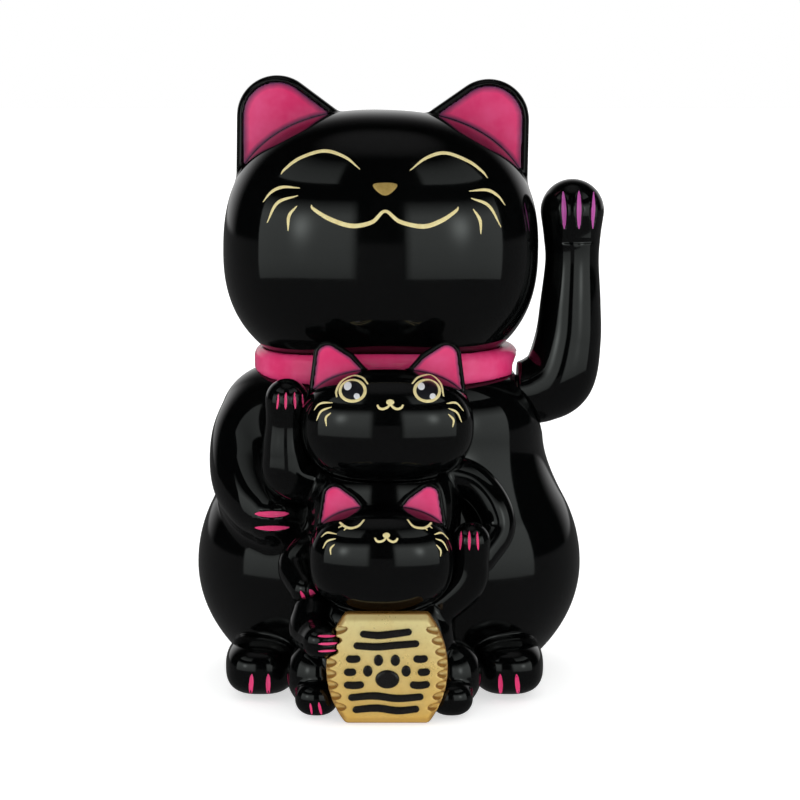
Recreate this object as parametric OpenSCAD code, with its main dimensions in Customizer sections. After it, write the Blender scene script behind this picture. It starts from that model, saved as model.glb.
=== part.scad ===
// Beckoning cat figurine: a mother cat with a swinging left arm and two kittens in front of her.
// Millimetres. +Z up, front of the cat towards -Y, origin on the table under the middle of the body.

/* [Mother cat] */
// Width of the body across the hips
body_w = 194; // [188:1:198]
// Depth of the body at the hips
body_d = 140; // [136:1:146]
// Height of the plane where the head sits on the body
neck_z = 156; // [155:0.5:157]
// Width of the head
head_w = 157; // [152:1:160]
// Depth of the head
head_d = 124; // [118:1:128]
// Height of the tip of the ears
ear_tip_z = 299; // [297:1:301]
// How far the head leans to its right, in degrees
head_lean = 1; // [0:0.5:2]
// Thickness of the moulded shells
wall = 2.2; // [2:0.1:2.6]

/* [Swinging arm] */
// Height of the pivot of the arm
pivot_z = 141; // [140:0.5:142]
// Radius of the pivot shaft
shaft_r = 2; // [1.8:0.1:2.2]
// Radius of the paw
paw_r = 15.8; // [15:0.2:16.4]

/* [Kittens] */
// Width of the head of the bigger kitten
mid_head_w = 83; // [80:1:85]
// Width of the head of the smaller kitten
small_head_w = 69; // [66:1:71]

/* [Gold plaque] */
// Height of the plaque
plaque_h = 52.5; // [51:0.5:53]
// Width of the plaque across its middle
plaque_w = 56.6; // [55:0.2:58]

/* [Base and battery] */
// Thickness of the base plate
base_t = 3; // [2.8:0.1:3.4]
// Radius of the round cell
cell_r = 7.1; // [7:0.1:7.2]
// Length of the round cell without its button
cell_l = 49; // [48:0.5:49.5]

/* [Hidden] */

$coarse = 1;                      // hollows nobody sees are drawn with fewer facets
gap = 0.15;                       // play between pieces that touch
floor_gap = 0.4;                  // the shells end this far above the table
black = [0.02, 0.02, 0.02];
pink = [0.85, 0.18, 0.42];
gold = [0.83, 0.66, 0.27];

body_x = 2;                       // the hips lie a little to the side of the origin
head_x = -2;                      // and the head a little to the other
head_z = 214;                     // height of the widest part of the head
head_top = 69;                    // from there to the crown
head_chin = 65;                   // and down to the chin
ear_r = 20;                       // radius of the round tip of an ear
ear_x = 52.4;                      // from the middle of the head to the centre of that tip
foot_x = 58.5;                    // from the middle to each foot of the mother
foot_r = 13.5;
arm_face_x = 66.5;                // flat end of the arm, facing the body
pocket_r = 19;                    // round hollow in the body's side for the end of the arm
base_a = 62;                      // half width of the base plate
base_b = 43;                      // half depth of the base plate

mid_head = [1.5, -64, 134];
mid_head_r = [mid_head_w / 2, 30, 27.5];
small_head = [-1, -88.4, 74.2];
small_head_r = [small_head_w / 2, 26, 25.5];

boss_x = 46;                      // screw bosses of the shells
boss_y = 18;
cheek_x = 20;                     // inner face of the frame's side cheeks
cheek_t = 2.5;
shelf_z = 33;                     // underside of the shelf that holds the driver board
board_z = 36.2;
coil_r = 13;
coil_h = 13;
magnet_r = 8;
magnet_h = 6;
magnet_gap = 3;                   // air gap between the coil and the magnet
cell_y = 20;                      // middle of the battery box
cell_z = 9.2;
box_x = 27.5;                     // half length of the battery box inside
box_y = 8;                        // half width inside
door_x = 29;
door_y = 9.5;
door_t = 1.5;
door_travel = 10;
switch_x = -46;
knob_travel = 4;

// ---- general forms ----

function signed_power(v, e) = sign(v) * pow(abs(v), e);

// Ellipsoid that can be squarer than round: power 2 is an ellipsoid, more is squarer. The top and
// bottom radii differ when bottom is given, and plan is the power seen from above.
module egg(c, r, power = 2, bottom = 0, around = 36, rings = 18, plan = 0) {
    e = 2 / power;
    f = plan > 0 ? 2 / plan : e;
    low = bottom > 0 ? bottom : r[2];
    ring_points = [for (i = [1:rings - 1]) for (j = [0:around - 1])
        let (v = -90 + 180 * i / rings, u = 360 * j / around, w = signed_power(cos(v), e))
        [c[0] + r[0] * w * signed_power(cos(u), f), c[1] + r[1] * w * signed_power(sin(u), f),
            c[2] + (v > 0 ? r[2] : low) * signed_power(sin(v), e)]];
    south = len(ring_points);
    points = concat(ring_points, [[c[0], c[1], c[2] - low], [c[0], c[1], c[2] + r[2]]]);
    top_ring = (rings - 2) * around;
    faces = concat(
        [for (i = [0:rings - 3]) for (j = [0:around - 1]) let (k = (j + 1) % around)
            [i * around + j, (i + 1) * around + j, i * around + k]],
        [for (i = [0:rings - 3]) for (j = [0:around - 1]) let (k = (j + 1) % around)
            [i * around + k, (i + 1) * around + j, (i + 1) * around + k]],
        [for (j = [0:around - 1]) [south, j, (j + 1) % around]],
        [for (j = [0:around - 1]) [south + 1, top_ring + (j + 1) % around, top_ring + j]]);
    polyhedron(points, faces);
}

// A round limb from one centre and radius to another
module limb(a, ra, b, rb, fn = 20) {
    facets = round(fn * $coarse);
    hull() {
        translate(a) sphere(r = ra, $fn = facets);
        translate(b) sphere(r = rb, $fn = facets);
    }
}

// Round tube swept along a list of points
module tube(path, r, sides = 8) {
    n = len(path);
    function along(i) = path[min(i + 1, n - 1)] - path[max(i - 1, 0)];
    function unit(v) = v / norm(v);
    rings = [for (i = [0:n - 1]) let (t = unit(along(i)),
        side = unit(abs(t[2]) > 0.95 ? cross(t, [0, 1, 0]) : cross(t, [0, 0, 1])), up = cross(side, t))
        for (j = [0:sides - 1]) path[i] + r * (cos(360 * j / sides) * side + sin(360 * j / sides) * up)];
    walls = [for (i = [0:n - 2]) for (j = [0:sides - 1]) let (k = (j + 1) % sides)
        each [[i * sides + j, i * sides + k, (i + 1) * sides + j],
            [i * sides + k, (i + 1) * sides + k, (i + 1) * sides + j]]];
    polyhedron(rings, concat(walls, [[for (j = [0:sides - 1]) sides - 1 - j]],
        [[for (j = [0:sides - 1]) (n - 1) * sides + j]]));
}

module both_sides() {
    for (s = [-1, 1]) scale([s, 1, 1]) children();
}

module front_space() {
    translate([-150, -200, floor_gap]) cube([300, 200, 320]);
}

module rear_space() {
    translate([-150, 0, floor_gap]) cube([300, 200, 320]);
}

// ---- mother's body ----

module body_core(grow = 0, around = 40) {
    hips = [body_w / 2 + grow, body_d / 2 + grow, 82 + grow];
    chest = [78.5 + grow, 56 + grow, 47 + grow];
    hull() {
        egg([body_x, 2, 55], hips, 2, 74 + grow, around, round(16 * $coarse));
        egg([body_x / 2, 3, 114], chest, 3.2, 0, around, round(16 * $coarse), 2.3);
    }
}

module mother_right_arm(grow = 0) {
    limb([-59, -2, 125], 27.5 + grow, [-67, -22, 109], 20.5 + grow);
    limb([-67, -22, 109], 20.5 + grow, [-56, -49, 88], 14.5 + grow);
}

module mother_foot(grow = 0) {
    hull() for (dx = [-4.5, 4.5]) {
        translate([foot_x + dx, -58, foot_r]) sphere(r = foot_r + grow, $fn = 20 * $coarse);
        translate([foot_x + dx, -34, foot_r + 1]) sphere(r = foot_r + 1 + grow, $fn = 20 * $coarse);
    }
}

module tail(grow = 0) {
    limb([6, 68, 15], 10 + grow, [34, 66, 15], 9.5 + grow, 16);
    limb([34, 66, 15], 9.5 + grow, [60, 52, 22], 8.5 + grow, 16);
    limb([60, 52, 22], 8.5 + grow, [74, 38, 36], 7 + grow, 16);
}

module arm_pocket(grow = 0) {
    translate([arm_face_x - 1 - grow, 0, pivot_z]) rotate([0, 90, 0])
        cylinder(r = pocket_r + grow, h = 40, $fn = 32);
}

// The whole outside of the body, before it is hollowed
module body_outside(grow = 0) {
    difference() {
        union() {
            body_core(grow);
            mother_right_arm(grow);
            both_sides() mother_foot(grow);
            tail(grow);
        }
        arm_pocket(-grow);
        translate([-100, -100, neck_z - gap / 2 + grow]) cube([200, 200, 40]);
    }
}

module body_hollow() {
    difference() {
        union() {
            body_core(-wall, 28, $coarse = 0.75);
            mother_right_arm(-wall, $coarse = 0.6);
            both_sides() mother_foot(-wall, $coarse = 0.6);
        }
        arm_pocket(wall);
        for (s = [-1, 1]) for (d = [-1, 1]) shell_boss(s, d);
        translate([-100, -150, -1]) cube([200, 90, 3 + floor_gap]);
    }
    translate([0, 0, 130]) cylinder(r = 28, h = 40, $fn = 32);
    translate([40, 0, pivot_z]) rotate([0, 90, 0]) cylinder(r = shaft_r + 1.5, h = 30, $fn = 24);
    translate([0, 0, -1]) linear_extrude(7) scale([base_a + 2 * gap, base_b + 2 * gap]) circle(r = 1, $fn = 48);
}

// Screw boss with a rib to the wall: s is the side, d is -1 in the front shell and 1 in the rear one
module shell_boss(s, d) {
    translate([s * boss_x, d * boss_y, base_t + gap]) difference() {
        union() {
            cylinder(r = 4, h = 15, $fn = 20);
            translate([s > 0 ? 0 : -32, -1, 4]) cube([32, 2, 11]);
        }
        translate([0, 0, -1]) cylinder(r = 1.3, h = 13, $fn = 16);
    }
}

module body_half(d) {
    color(black) difference() {
        intersection() {
            body_outside();
            if (d < 0) front_space(); else rear_space();
        }
        body_hollow();
    }
}

// ---- mother's head ----

module place_head() {
    translate([head_x, 0, head_z]) rotate([0, head_lean, 0]) children();
}

module head_core(grow = 0, around = 40, rings = 22) {
    egg([0, 0, 0], [head_w / 2 + grow, head_d / 2 + grow, head_top + grow], 2.4, head_chin + grow, around, rings);
}

// One ear: a round tip and two lower corners that sink into the head, drawn in its own plane
// e is [tip, tip radius, outer corner, inner corner, corner radius]
module ear_outline(e, inset = 0) {
    hull() {
        translate(e[0]) circle(r = e[1] - inset, $fn = 32);
        translate(e[2]) circle(r = max(e[4] - inset, 0.5), $fn = 16);
        translate(e[3]) circle(r = max(e[4] - inset, 0.5), $fn = 16);
    }
}

module ear_slab(e, thick, inset, grow) {
    rotate([90, 0, 0]) linear_extrude(thick + 2 * grow, center = true) ear_outline(e, inset - grow);
}

module ear(e, t, grow = 0) {
    hull() {
        ear_slab(e, t * 0.4, 0, grow);
        ear_slab(e, t * 0.8, t * 0.11, grow);
        ear_slab(e, t, t * 0.27, grow);
    }
}

// Shallow panel in the front of an ear, which the pink inlay fills: from y = -at forwards
module ear_panel(e, at, deep, inset) {
    translate([0, -at, 0]) rotate([90, 0, 0]) linear_extrude(deep) ear_outline(e, inset);
}

mother_ear = [[ear_x, ear_tip_z - head_z - ear_r], ear_r, [ear_x + ear_r - 6, 24], [23.6, 61.6], 6];
mid_ear = [[29.5, 35.2], 5.4, [34.5, 12], [12, 24.5], 3.5];
small_ear = [[23.2, 31.6], 4.8, [28.2, 12], [9, 22.3], 3];
ear_rims = [3.4, 1.8, 1.6];         // width of the rim round the inlay: mother, bigger and smaller kitten

module head_outside(grow = 0) {
    place_head() {
        head_core(grow);
        both_sides() ear(mother_ear, 13, grow);
    }
}

module head_hollow() {
    place_head() head_core(-wall, 28, 14);
    translate([0, 0, neck_z - 20]) cylinder(r = 28, h = 40, $fn = 32);
}

module head_half(d) {
    color(black) difference() {
        intersection() {
            head_outside();
            translate([-150, d < 0 ? -200 : 0, neck_z + gap / 2]) cube([300, 200, 200]);
        }
        head_hollow();
        if (d < 0) difference() {
            place_head() both_sides() ear_panel(mother_ear, 4, 12, ear_rims[0]);
            place_head() head_core();
        }
    }
}

module mother_ear_inlays() {
    color(pink) difference() {
        place_head() both_sides() ear_panel(mother_ear, 4 + gap, 1, ear_rims[0] + gap);
        place_head() head_core(gap);
    }
}

// Band round the neck that hides the joint between head and body
module collar() {
    color(pink) difference() {
        translate([0.5, 2, neck_z + 1]) scale([1, 0.83, 1]) rotate_extrude($fn = 48)
            hull() for (z = [-4, 4]) for (x = [52, 63.5]) translate([x, z]) circle(r = 3, $fn = 12);
        body_outside(gap);
        head_outside(gap);
        arm_pocket(2);
    }
}

// ---- kittens ----

module mid_head_core(grow = 0, around = 36) {
    egg([0, 0, 0], mid_head_r + [grow, grow, grow], 2.4, 0, around, 16);
}

module mid_head_form(grow = 0, around = 36) {
    translate(mid_head) {
        mid_head_core(grow, around);
        both_sides() ear(mid_ear, 8, grow);
    }
}

module small_head_core(grow = 0, around = 32) {
    egg([0, 0, 0], small_head_r + [grow, grow, grow], 2.4, 0, around, 16);
}

module small_head_form(grow = 0, around = 32) {
    translate(small_head) {
        small_head_core(grow, around);
        both_sides() ear(small_ear, 7, grow);
    }
}

module mid_body_form(grow = 0) {
    egg([0, -58, 90], [37 + grow, 25 + grow, 34 + grow], 2.4, 0, 24, 12);
    limb([-46.5, -63, 146], 10.5 + grow, [-46.7, -61, 111], 13.5 + grow, 16);     // raised arm
    limb([-46.7, -61, 111], 13.5 + grow, [-30, -52, 106], 14 + grow, 16);
    limb([30, -57, 108], 10 + grow, [50, -60, 97], 8.5 + grow, 14);               // arm round the small kitten
    limb([50, -60, 97], 8.5 + grow, [54, -64, 83], 8 + grow, 14);
    limb([54, -64, 83], 8 + grow, [46, -72, 71], 7.5 + grow, 14);
    limb([-25, -57, 76], 12 + grow, [-41, -66, 67], 9.5 + grow, 14);              // legs
    limb([-41, -66, 67], 9.5 + grow, [-36.5, -82, 57], 7.5 + grow, 14);
    limb([24, -58, 74], 11 + grow, [37, -65, 60], 8.5 + grow, 14);
    limb([37, -65, 60], 8.5 + grow, [34, -72, 52], 7 + grow, 14);
}

module small_body_form(grow = 0) {
    egg([0, -80, 30], [34 + grow, 22 + grow, 32 + grow], 2.4, 0, 24, 12);
    limb([41, -86, 82], 9.4 + grow, [38.5, -84, 62], 10 + grow, 14);              // raised arm
    limb([38.5, -84, 62], 10 + grow, [26, -82, 50], 10 + grow, 14);
    limb([-36, -86, 47], 10 + grow, [-31, -97, 33], 9.5 + grow, 14);              // arm on the plaque
    for (s = [-1, 1]) {
        limb([s * 31, -82, 15], 15 + grow, [s * 31, -90, 12], 12 + grow, 16);     // legs and feet
        limb([s * 31, -92, 8], 8 + grow, [s * 29, -96, 7], 7 + grow, 12);
    }
}

// Every kitten piece is a shell that is open at the back, where it is bonded to what is behind it
module mid_kitten_head() {
    color(black) difference() {
        mid_head_form();
        translate(mid_head) mid_head_core(-wall, 24);
        translate(mid_head) difference() {
            both_sides() ear_panel(mid_ear, 2.4, 8, ear_rims[1]);
            mid_head_core();
        }
        body_outside(gap);
        head_outside(gap);
        collar_space();
    }
}

module collar_space() {
    translate([0.5, 2, neck_z + 1]) scale([1, 0.83, 1]) cylinder(r = 66.5 + gap, h = 14 + 2 * gap, center = true, $fn = 48);
}

module mid_kitten_body() {
    color(black) difference() {
        intersection() {
            mid_body_form();
            front_space();
        }
        mid_body_form(-wall, $coarse = 0.6);
        body_outside(gap);
        mid_head_form(gap);
        collar_space();
    }
}

module mid_kitten_ear_inlays() {
    color(pink) difference() {
        translate(mid_head) both_sides() ear_panel(mid_ear, 2.4 + gap, 0.8, ear_rims[1] + gap);
        translate(mid_head) mid_head_core(gap);
    }
}

module small_kitten_head() {
    color(black) difference() {
        small_head_form();
        translate(small_head) small_head_core(-wall, 22);
        translate(small_head) difference() {
            both_sides() ear_panel(small_ear, 2.1, 8, ear_rims[2]);
            small_head_core();
        }
        mid_body_form(gap);
        body_outside(gap);
    }
}

module small_kitten_body() {
    color(black) difference() {
        intersection() {
            small_body_form();
            front_space();
        }
        intersection() {
            small_body_form(-wall, $coarse = 0.6);
            translate([-100, -200, 3.4]) cube([200, 200, 200]);
        }
        body_outside(gap);
        mid_body_form(gap);
        small_head_form(gap);
        plaque_form(gap);
    }
}

module small_kitten_ear_inlays() {
    color(pink) difference() {
        translate(small_head) both_sides() ear_panel(small_ear, 2.1 + gap, 0.8, ear_rims[2] + gap);
        translate(small_head) small_head_core(gap);
    }
}

// ---- gold plaque ----

plaque_x = 1.5;
plaque_front = -112;
plaque_t = 8;
side_arc_r = 42;                  // radius of its bulging sides

module plaque_outline(grow = 0) {
    intersection() {
        for (s = [-1, 1]) translate([s * (side_arc_r - plaque_w / 2), plaque_h / 2])
            circle(r = side_arc_r + grow, $fn = 64);
        translate([-40, floor_gap - grow]) square([80, plaque_h - floor_gap + 2 * grow]);
    }
}

module plaque_sides(s, grow = 0) {
    translate([s * (side_arc_r - plaque_w / 2), plaque_h / 2]) circle(r = side_arc_r + grow, $fn = 64);
}

module plaque_form(grow = 0) {
    translate([plaque_x, plaque_front + plaque_t + grow, 0]) rotate([90, 0, 0])
        linear_extrude(plaque_t + 2 * grow) intersection() {
            plaque_sides(-1, grow);
            plaque_sides(1, grow);
            translate([-40, floor_gap - grow]) square([80, plaque_h - floor_gap + 2 * grow]);
        }
}

module gold_plaque() {
    color(gold) plaque_form();
}

// Raised enamel pattern: rows of bars above and below a paw print
module plaque_marks() {
    color(black) translate([plaque_x, plaque_front - gap / 3, 0]) rotate([90, 0, 0]) linear_extrude(0.8) {
        for (row = [[46, 11], [40, 14], [12, 14], [6, 11]]) hull()
            for (s = [-1, 1]) translate([s * row[1], row[0]]) circle(r = 1.5, $fn = 16);
        translate([0, 23]) circle(r = 5, $fn = 24);
        for (a = [30, 70, 110, 150]) translate([9 * cos(a), 23 + 9 * sin(a)]) circle(r = 2.1, $fn = 16);
    }
}

// ---- base and battery ----

tab = 1.5;                        // the door's tabs slide out of notches at the end of its travel
tab_places = [-26, -8, 10];

module door_slot(half, from, to) {
    translate([-door_x - gap, cell_y - half, from]) cube([2 * (door_x + gap) + door_travel, 2 * half, to - from]);
}

module base_plate() {
    color(black) difference() {
        union() {
            linear_extrude(base_t) scale([base_a, base_b]) circle(r = 1, $fn = 64);
            translate([-box_x - 1.6, cell_y - box_y - 1.6, 0]) cube([2 * box_x + 3.2, 2 * box_y + 3.2, cell_z + cell_r + 3]);
        }
        translate([-box_x, cell_y - box_y, -1]) cube([2 * box_x, 2 * box_y, cell_z + cell_r + 2.4]);
        door_slot(door_y + gap, -1, 0.3 + door_t + gap);
        door_slot(door_y + tab + gap, 0.8 - gap, 0.3 + door_t + gap);
        for (x = tab_places) translate([x + door_travel - gap, cell_y - door_y - tab - gap, -1])
            cube([5 + 2 * gap, 2 * (door_y + tab + gap), 2]);
        for (s = [-1, 1]) for (d = [-1, 1]) {
            translate([s * boss_x, d * boss_y, -1]) cylinder(r = 1.7, h = 6, $fn = 24);
            translate([s * boss_x, d * boss_y, -1]) cylinder(r = 3.4, h = 2.2, $fn = 24);
            translate([s * 30, d * 6 - 2, -1]) cylinder(r = 1.7, h = 6, $fn = 24);
            translate([s * 30, d * 6 - 2, -1]) cylinder(r = 3.4, h = 2.2, $fn = 24);
        }
        translate([switch_x - 3.5, -6, -1]) cube([7, 12, 1.8]);
        translate([switch_x - 2.2, -4.4, -1]) cube([4.4, 8.8, 6]);
    }
}

// Pan-head screw pointing up from z = 0.3 with a cross recess, length l
module screw(l) {
    difference() {
        union() {
            cylinder(r = 2.9, h = 0.9, $fn = 24);
            cylinder(r = 1.25, h = l, $fn = 20);
        }
        for (a = [0, 90]) rotate(a) translate([-1.6, -0.3, -0.1]) cube([3.2, 0.6, 0.6]);
    }
}

module base_screws() {
    color("silver") for (s = [-1, 1]) for (d = [-1, 1]) translate([s * boss_x, d * boss_y, 0.3]) screw(12);
}

module frame_screws() {
    color("silver") for (s = [-1, 1]) for (d = [-1, 1]) translate([s * 30, d * 6 - 2, 0.3]) screw(6);
}

module battery_door() {
    color(black) translate([0, cell_y, 0.3]) difference() {
        union() {
            translate([-door_x, -door_y, 0]) cube([2 * door_x, 2 * door_y, door_t]);
            for (x = tab_places) translate([x, -door_y - tab, 0.5]) cube([5, 2 * (door_y + tab), 1]);
        }
        for (x = [18:2.5:25.5]) translate([x, -5, -0.1]) cube([1, 10, 0.5]);
    }
}

module battery_cell() {
    color("seagreen") translate([-cell_l / 2 + 0.9, cell_y, cell_z]) rotate([0, 90, 0]) {
        cylinder(r = cell_r, h = cell_l, $fn = 48);
        cylinder(r = 2.7, h = cell_l + 1.4, $fn = 32);
    }
}

module battery_spring() {
    turns = 3;
    color("silver") tube([for (i = [0:turns * 12]) let (t = i / (turns * 12), r = 5 - 2.2 * t)
        [-box_x + 0.9 + 2.6 * t, cell_y + r * cos(360 * turns * t), cell_z + r * sin(360 * turns * t)]], 0.35, 6);
}

module battery_contact() {
    color("silver") translate([box_x - 0.5, cell_y - 5, cell_z - 5]) cube([0.4, 10, 10]);
}

module switch_housing() {
    color([0.1, 0.1, 0.1]) translate([switch_x, 0, base_t + 0.1]) difference() {
        translate([-5, -8, 0]) cube([10, 16, 6]);
        translate([-2.4, -4.6, -0.1]) cube([4.8, 9.2, 4]);
    }
}

module switch_knob() {
    color([0.1, 0.1, 0.1]) translate([switch_x, -knob_travel / 2, 0]) {
        translate([-1.9, -1.9, 0.5]) cube([3.8, 3.8, 5]);
    }
}

// ---- mechanism ----

module frame_cheek() {
    difference() {
        union() {
            translate([cheek_x, -12, base_t + 0.1]) cube([cheek_t, 20, 120]);
            hull() {
                translate([cheek_x, -12, base_t + 110]) cube([cheek_t, 20, 1]);
                translate([cheek_x, 0, pivot_z]) rotate([0, 90, 0]) cylinder(r = 9, h = cheek_t, $fn = 32);
            }
            translate([cheek_x, -12, base_t + 0.1]) cube([15, 20, 3]);
        }
        translate([cheek_x - 1, 0, pivot_z]) rotate([0, 90, 0]) cylinder(r = 4, h = 5, $fn = 32);
        for (d = [-1, 1]) translate([30, d * 6 - 2, 0]) cylinder(r = 1.25, h = 20, $fn = 20);
    }
}

module mechanism_frame() {
    color([0.92, 0.92, 0.88]) {
        both_sides() frame_cheek();
        difference() {
            translate([-cheek_x, -12, shelf_z]) cube([2 * cheek_x, 20, 3]);
            for (s = [-1, 1]) translate([s * 16, -2, shelf_z - 1]) cylinder(r = 1, h = 6, $fn = 16);
        }
        translate([-cheek_x - 1, -4, pivot_z + 8.9]) cube([2 * cheek_x + 2, 8, 2.5]);
    }
}

module shaft_bushes() {
    color([0.8, 0.7, 0.4]) for (s = [-1, 1])
        translate([s > 0 ? cheek_x - 1 : -cheek_x - cheek_t - 1, 0, pivot_z]) rotate([0, 90, 0]) difference() {
            union() {
                cylinder(r = 3.95, h = cheek_t + 2, $fn = 32);
                translate([0, 0, s > 0 ? 0 : cheek_t + 1.1]) cylinder(r = 5, h = 0.9, $fn = 32);
            }
            translate([0, 0, -1]) cylinder(r = shaft_r + 0.05, h = 10, $fn = 32);
        }
}

module driver_board() {
    color("darkgreen") difference() {
        translate([-19, -11.5, board_z]) cube([38, 19, 1.6]);
        for (s = [-1, 1]) translate([s * 16, -2, board_z - 1]) cylinder(r = 1.4, h = 5, $fn = 20);
    }
}

module board_screws() {
    color("silver") for (s = [-1, 1]) translate([s * 16, -2, board_z + 1.7]) difference() {
        union() {
            cylinder(r = 2.2, h = 1.2, $fn = 20);
            translate([0, 0, -5]) cylinder(r = 0.95, h = 5.5, $fn = 16);
        }
        translate([-1.4, -0.3, 0.8]) cube([2.8, 0.6, 1]);
    }
}

coil_z = board_z + 1.7;

module coil_bobbin() {
    color([0.9, 0.9, 0.85]) translate([0, -2, coil_z]) difference() {
        union() {
            cylinder(r = coil_r, h = 1.2, $fn = 40);
            cylinder(r = 5, h = coil_h, $fn = 40);
            translate([0, 0, coil_h - 1.2]) cylinder(r = coil_r, h = 1.2, $fn = 40);
        }
        translate([0, 0, -1]) cylinder(r = 3.4, h = coil_h + 2, $fn = 32);
    }
}

module coil_winding() {
    color([0.72, 0.4, 0.18]) translate([0, -2, coil_z + 1.25]) difference() {
        cylinder(r = coil_r - 1, h = coil_h - 2.5, $fn = 40);
        translate([0, 0, -1]) cylinder(r = 5.05, h = coil_h, $fn = 40);
    }
}

module capacitor() {
    color("navy") translate([16, 4, coil_z]) cylinder(r = 2, h = 7, $fn = 24);
}

module transistor() {
    color([0.1, 0.1, 0.1]) translate([-16, 4, coil_z]) intersection() {
        cylinder(r = 2.3, h = 4.5, $fn = 24);
        translate([-3, -1.5, 0]) cube([6, 5, 5]);
    }
}

// Wires run inside the body, from the battery box to the switch and to the driver board
red_route = [[30, 30, 12], [34, 30, 15], [36, 26, 20], [36, 20, 25], [34, 13, 29], [30, 9, 33],
    [24, 9.5, 38], [20, 9.5, 41], [16, 9, 41], [13, 7.6, 40]];
black_route = [[-30, 28, 12], [-33, 27, 12], [-37, 22, 11], [-40, 16, 10], [-43, 11, 10], [-45, 7, 10], [-46, 4, 10]];
board_route = [[-46, -4, 10], [-45, -8, 10.4], [-43, -13, 14], [-38, -17, 20], [-31, -18, 27], [-25, -16, 34],
    [-20, -14, 39], [-16, -13.6, 40.5], [-13, -11, 40]];

module red_wire() {
    color("red") tube(red_route, 0.7, 8);
}

module black_wire() {
    color(black) tube(black_route, 0.7, 8);
}

module board_wire() {
    color(black) tube(board_route, 0.7, 8);
}

// ---- swinging arm and pendulum ----

// The arm's centres and radii, from the shoulder round the elbow to the paw
arm_chain = [[[70, 0, 141.5], 15.8], [[86.5, 0, 148.5], 18.3], [[92, 0, 168], 16.6], [[93, 0, 186], 15.2],
    [[93.6, 0, 208], 13.5], [[93.5, 0, 233], paw_r]];

module arm_form(grow = 0, fn = 24) {
    for (i = [0:len(arm_chain) - 2])
        limb(arm_chain[i][0], arm_chain[i][1] + grow, arm_chain[i + 1][0], arm_chain[i + 1][1] + grow, fn);
}

module arm_half(d) {
    color(black) difference() {
        intersection() {
            arm_form();
            translate([arm_face_x, d < 0 ? -60 : 0.02, 100]) cube([80, 60, 200]);
        }
        intersection() {
            arm_form(-1.8, $coarse = 0.6);
            translate([arm_face_x + 1.8, -60, 100]) cube([80, 120, 200]);
        }
        translate([arm_face_x - 1, 0, pivot_z]) rotate([0, 90, 0]) cylinder(r = 6.6, h = 14, $fn = 32);
    }
}

module arm_hub() {
    color(black) translate([arm_face_x, 0, pivot_z]) rotate([0, 90, 0]) difference() {
        union() {
            cylinder(r = 6.5, h = 13, $fn = 32);
            translate([0, 0, 3]) cylinder(r = 9, h = 2, $fn = 32);
        }
        translate([0, 0, -1]) cylinder(r = shaft_r, h = 12, $fn = 32);
    }
}

module pivot_shaft() {
    color("silver") translate([-28, 0, pivot_z]) rotate([0, 90, 0]) cylinder(r = shaft_r, h = 28 + arm_face_x + 10.5, $fn = 32);
}

module shaft_washers() {
    color("silver") for (x = [-26.5, 25.2]) translate([x, 0, pivot_z]) rotate([0, 90, 0]) difference() {
        cylinder(r = 4.2, h = 0.8, $fn = 32);
        translate([0, 0, -1]) cylinder(r = shaft_r, h = 3, $fn = 32);
    }
}

magnet_z = coil_z + coil_h + magnet_gap;

module pendulum_lever() {
    color("white") difference() {
        union() {
            translate([-8, 0, pivot_z]) rotate([0, 90, 0]) cylinder(r = 6, h = 16, $fn = 32);
            translate([-2, -5, magnet_z + magnet_h]) cube([4, 10, pivot_z - magnet_z - magnet_h]);
            translate([0, 0, magnet_z + 1.5]) cylinder(r = magnet_r + 1.5, h = magnet_h + 1, $fn = 40);
        }
        translate([-20, 0, pivot_z]) rotate([0, 90, 0]) cylinder(r = shaft_r, h = 40, $fn = 32);
        translate([0, 0, magnet_z - 1]) cylinder(r = magnet_r, h = magnet_h + 1, $fn = 40);
    }
}

module pendulum_weight() {
    color("gray") difference() {
        translate([-9, -13, magnet_z + 12]) cube([18, 26, 20]);
        translate([-2.05, -5.05, magnet_z]) cube([4.1, 10.1, 60]);
    }
}

module pendulum_magnet() {
    color("silver") translate([0, 0, magnet_z]) cylinder(r = magnet_r, h = magnet_h, $fn = 40);
}

body_half(-1);  // front_body_shell
body_half(1);  // rear_body_shell
head_half(-1);  // front_head_shell
head_half(1);  // rear_head_shell
mother_ear_inlays();
collar();
mid_kitten_head();
mid_kitten_body();
mid_kitten_ear_inlays();
small_kitten_head();
small_kitten_body();
small_kitten_ear_inlays();
gold_plaque();
plaque_marks();
base_plate();
base_screws();
battery_door();
battery_cell();
battery_spring();
battery_contact();
switch_housing();
switch_knob();
mechanism_frame();
frame_screws();
shaft_bushes();
driver_board();
board_screws();
coil_bobbin();
coil_winding();
capacitor();
transistor();
red_wire();
black_wire();
board_wire();
arm_half(-1);  // arm_front_half
arm_half(1);  // arm_rear_half
arm_hub();
pivot_shaft();
shaft_washers();
pendulum_lever();
pendulum_weight();
pendulum_magnet();
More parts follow.
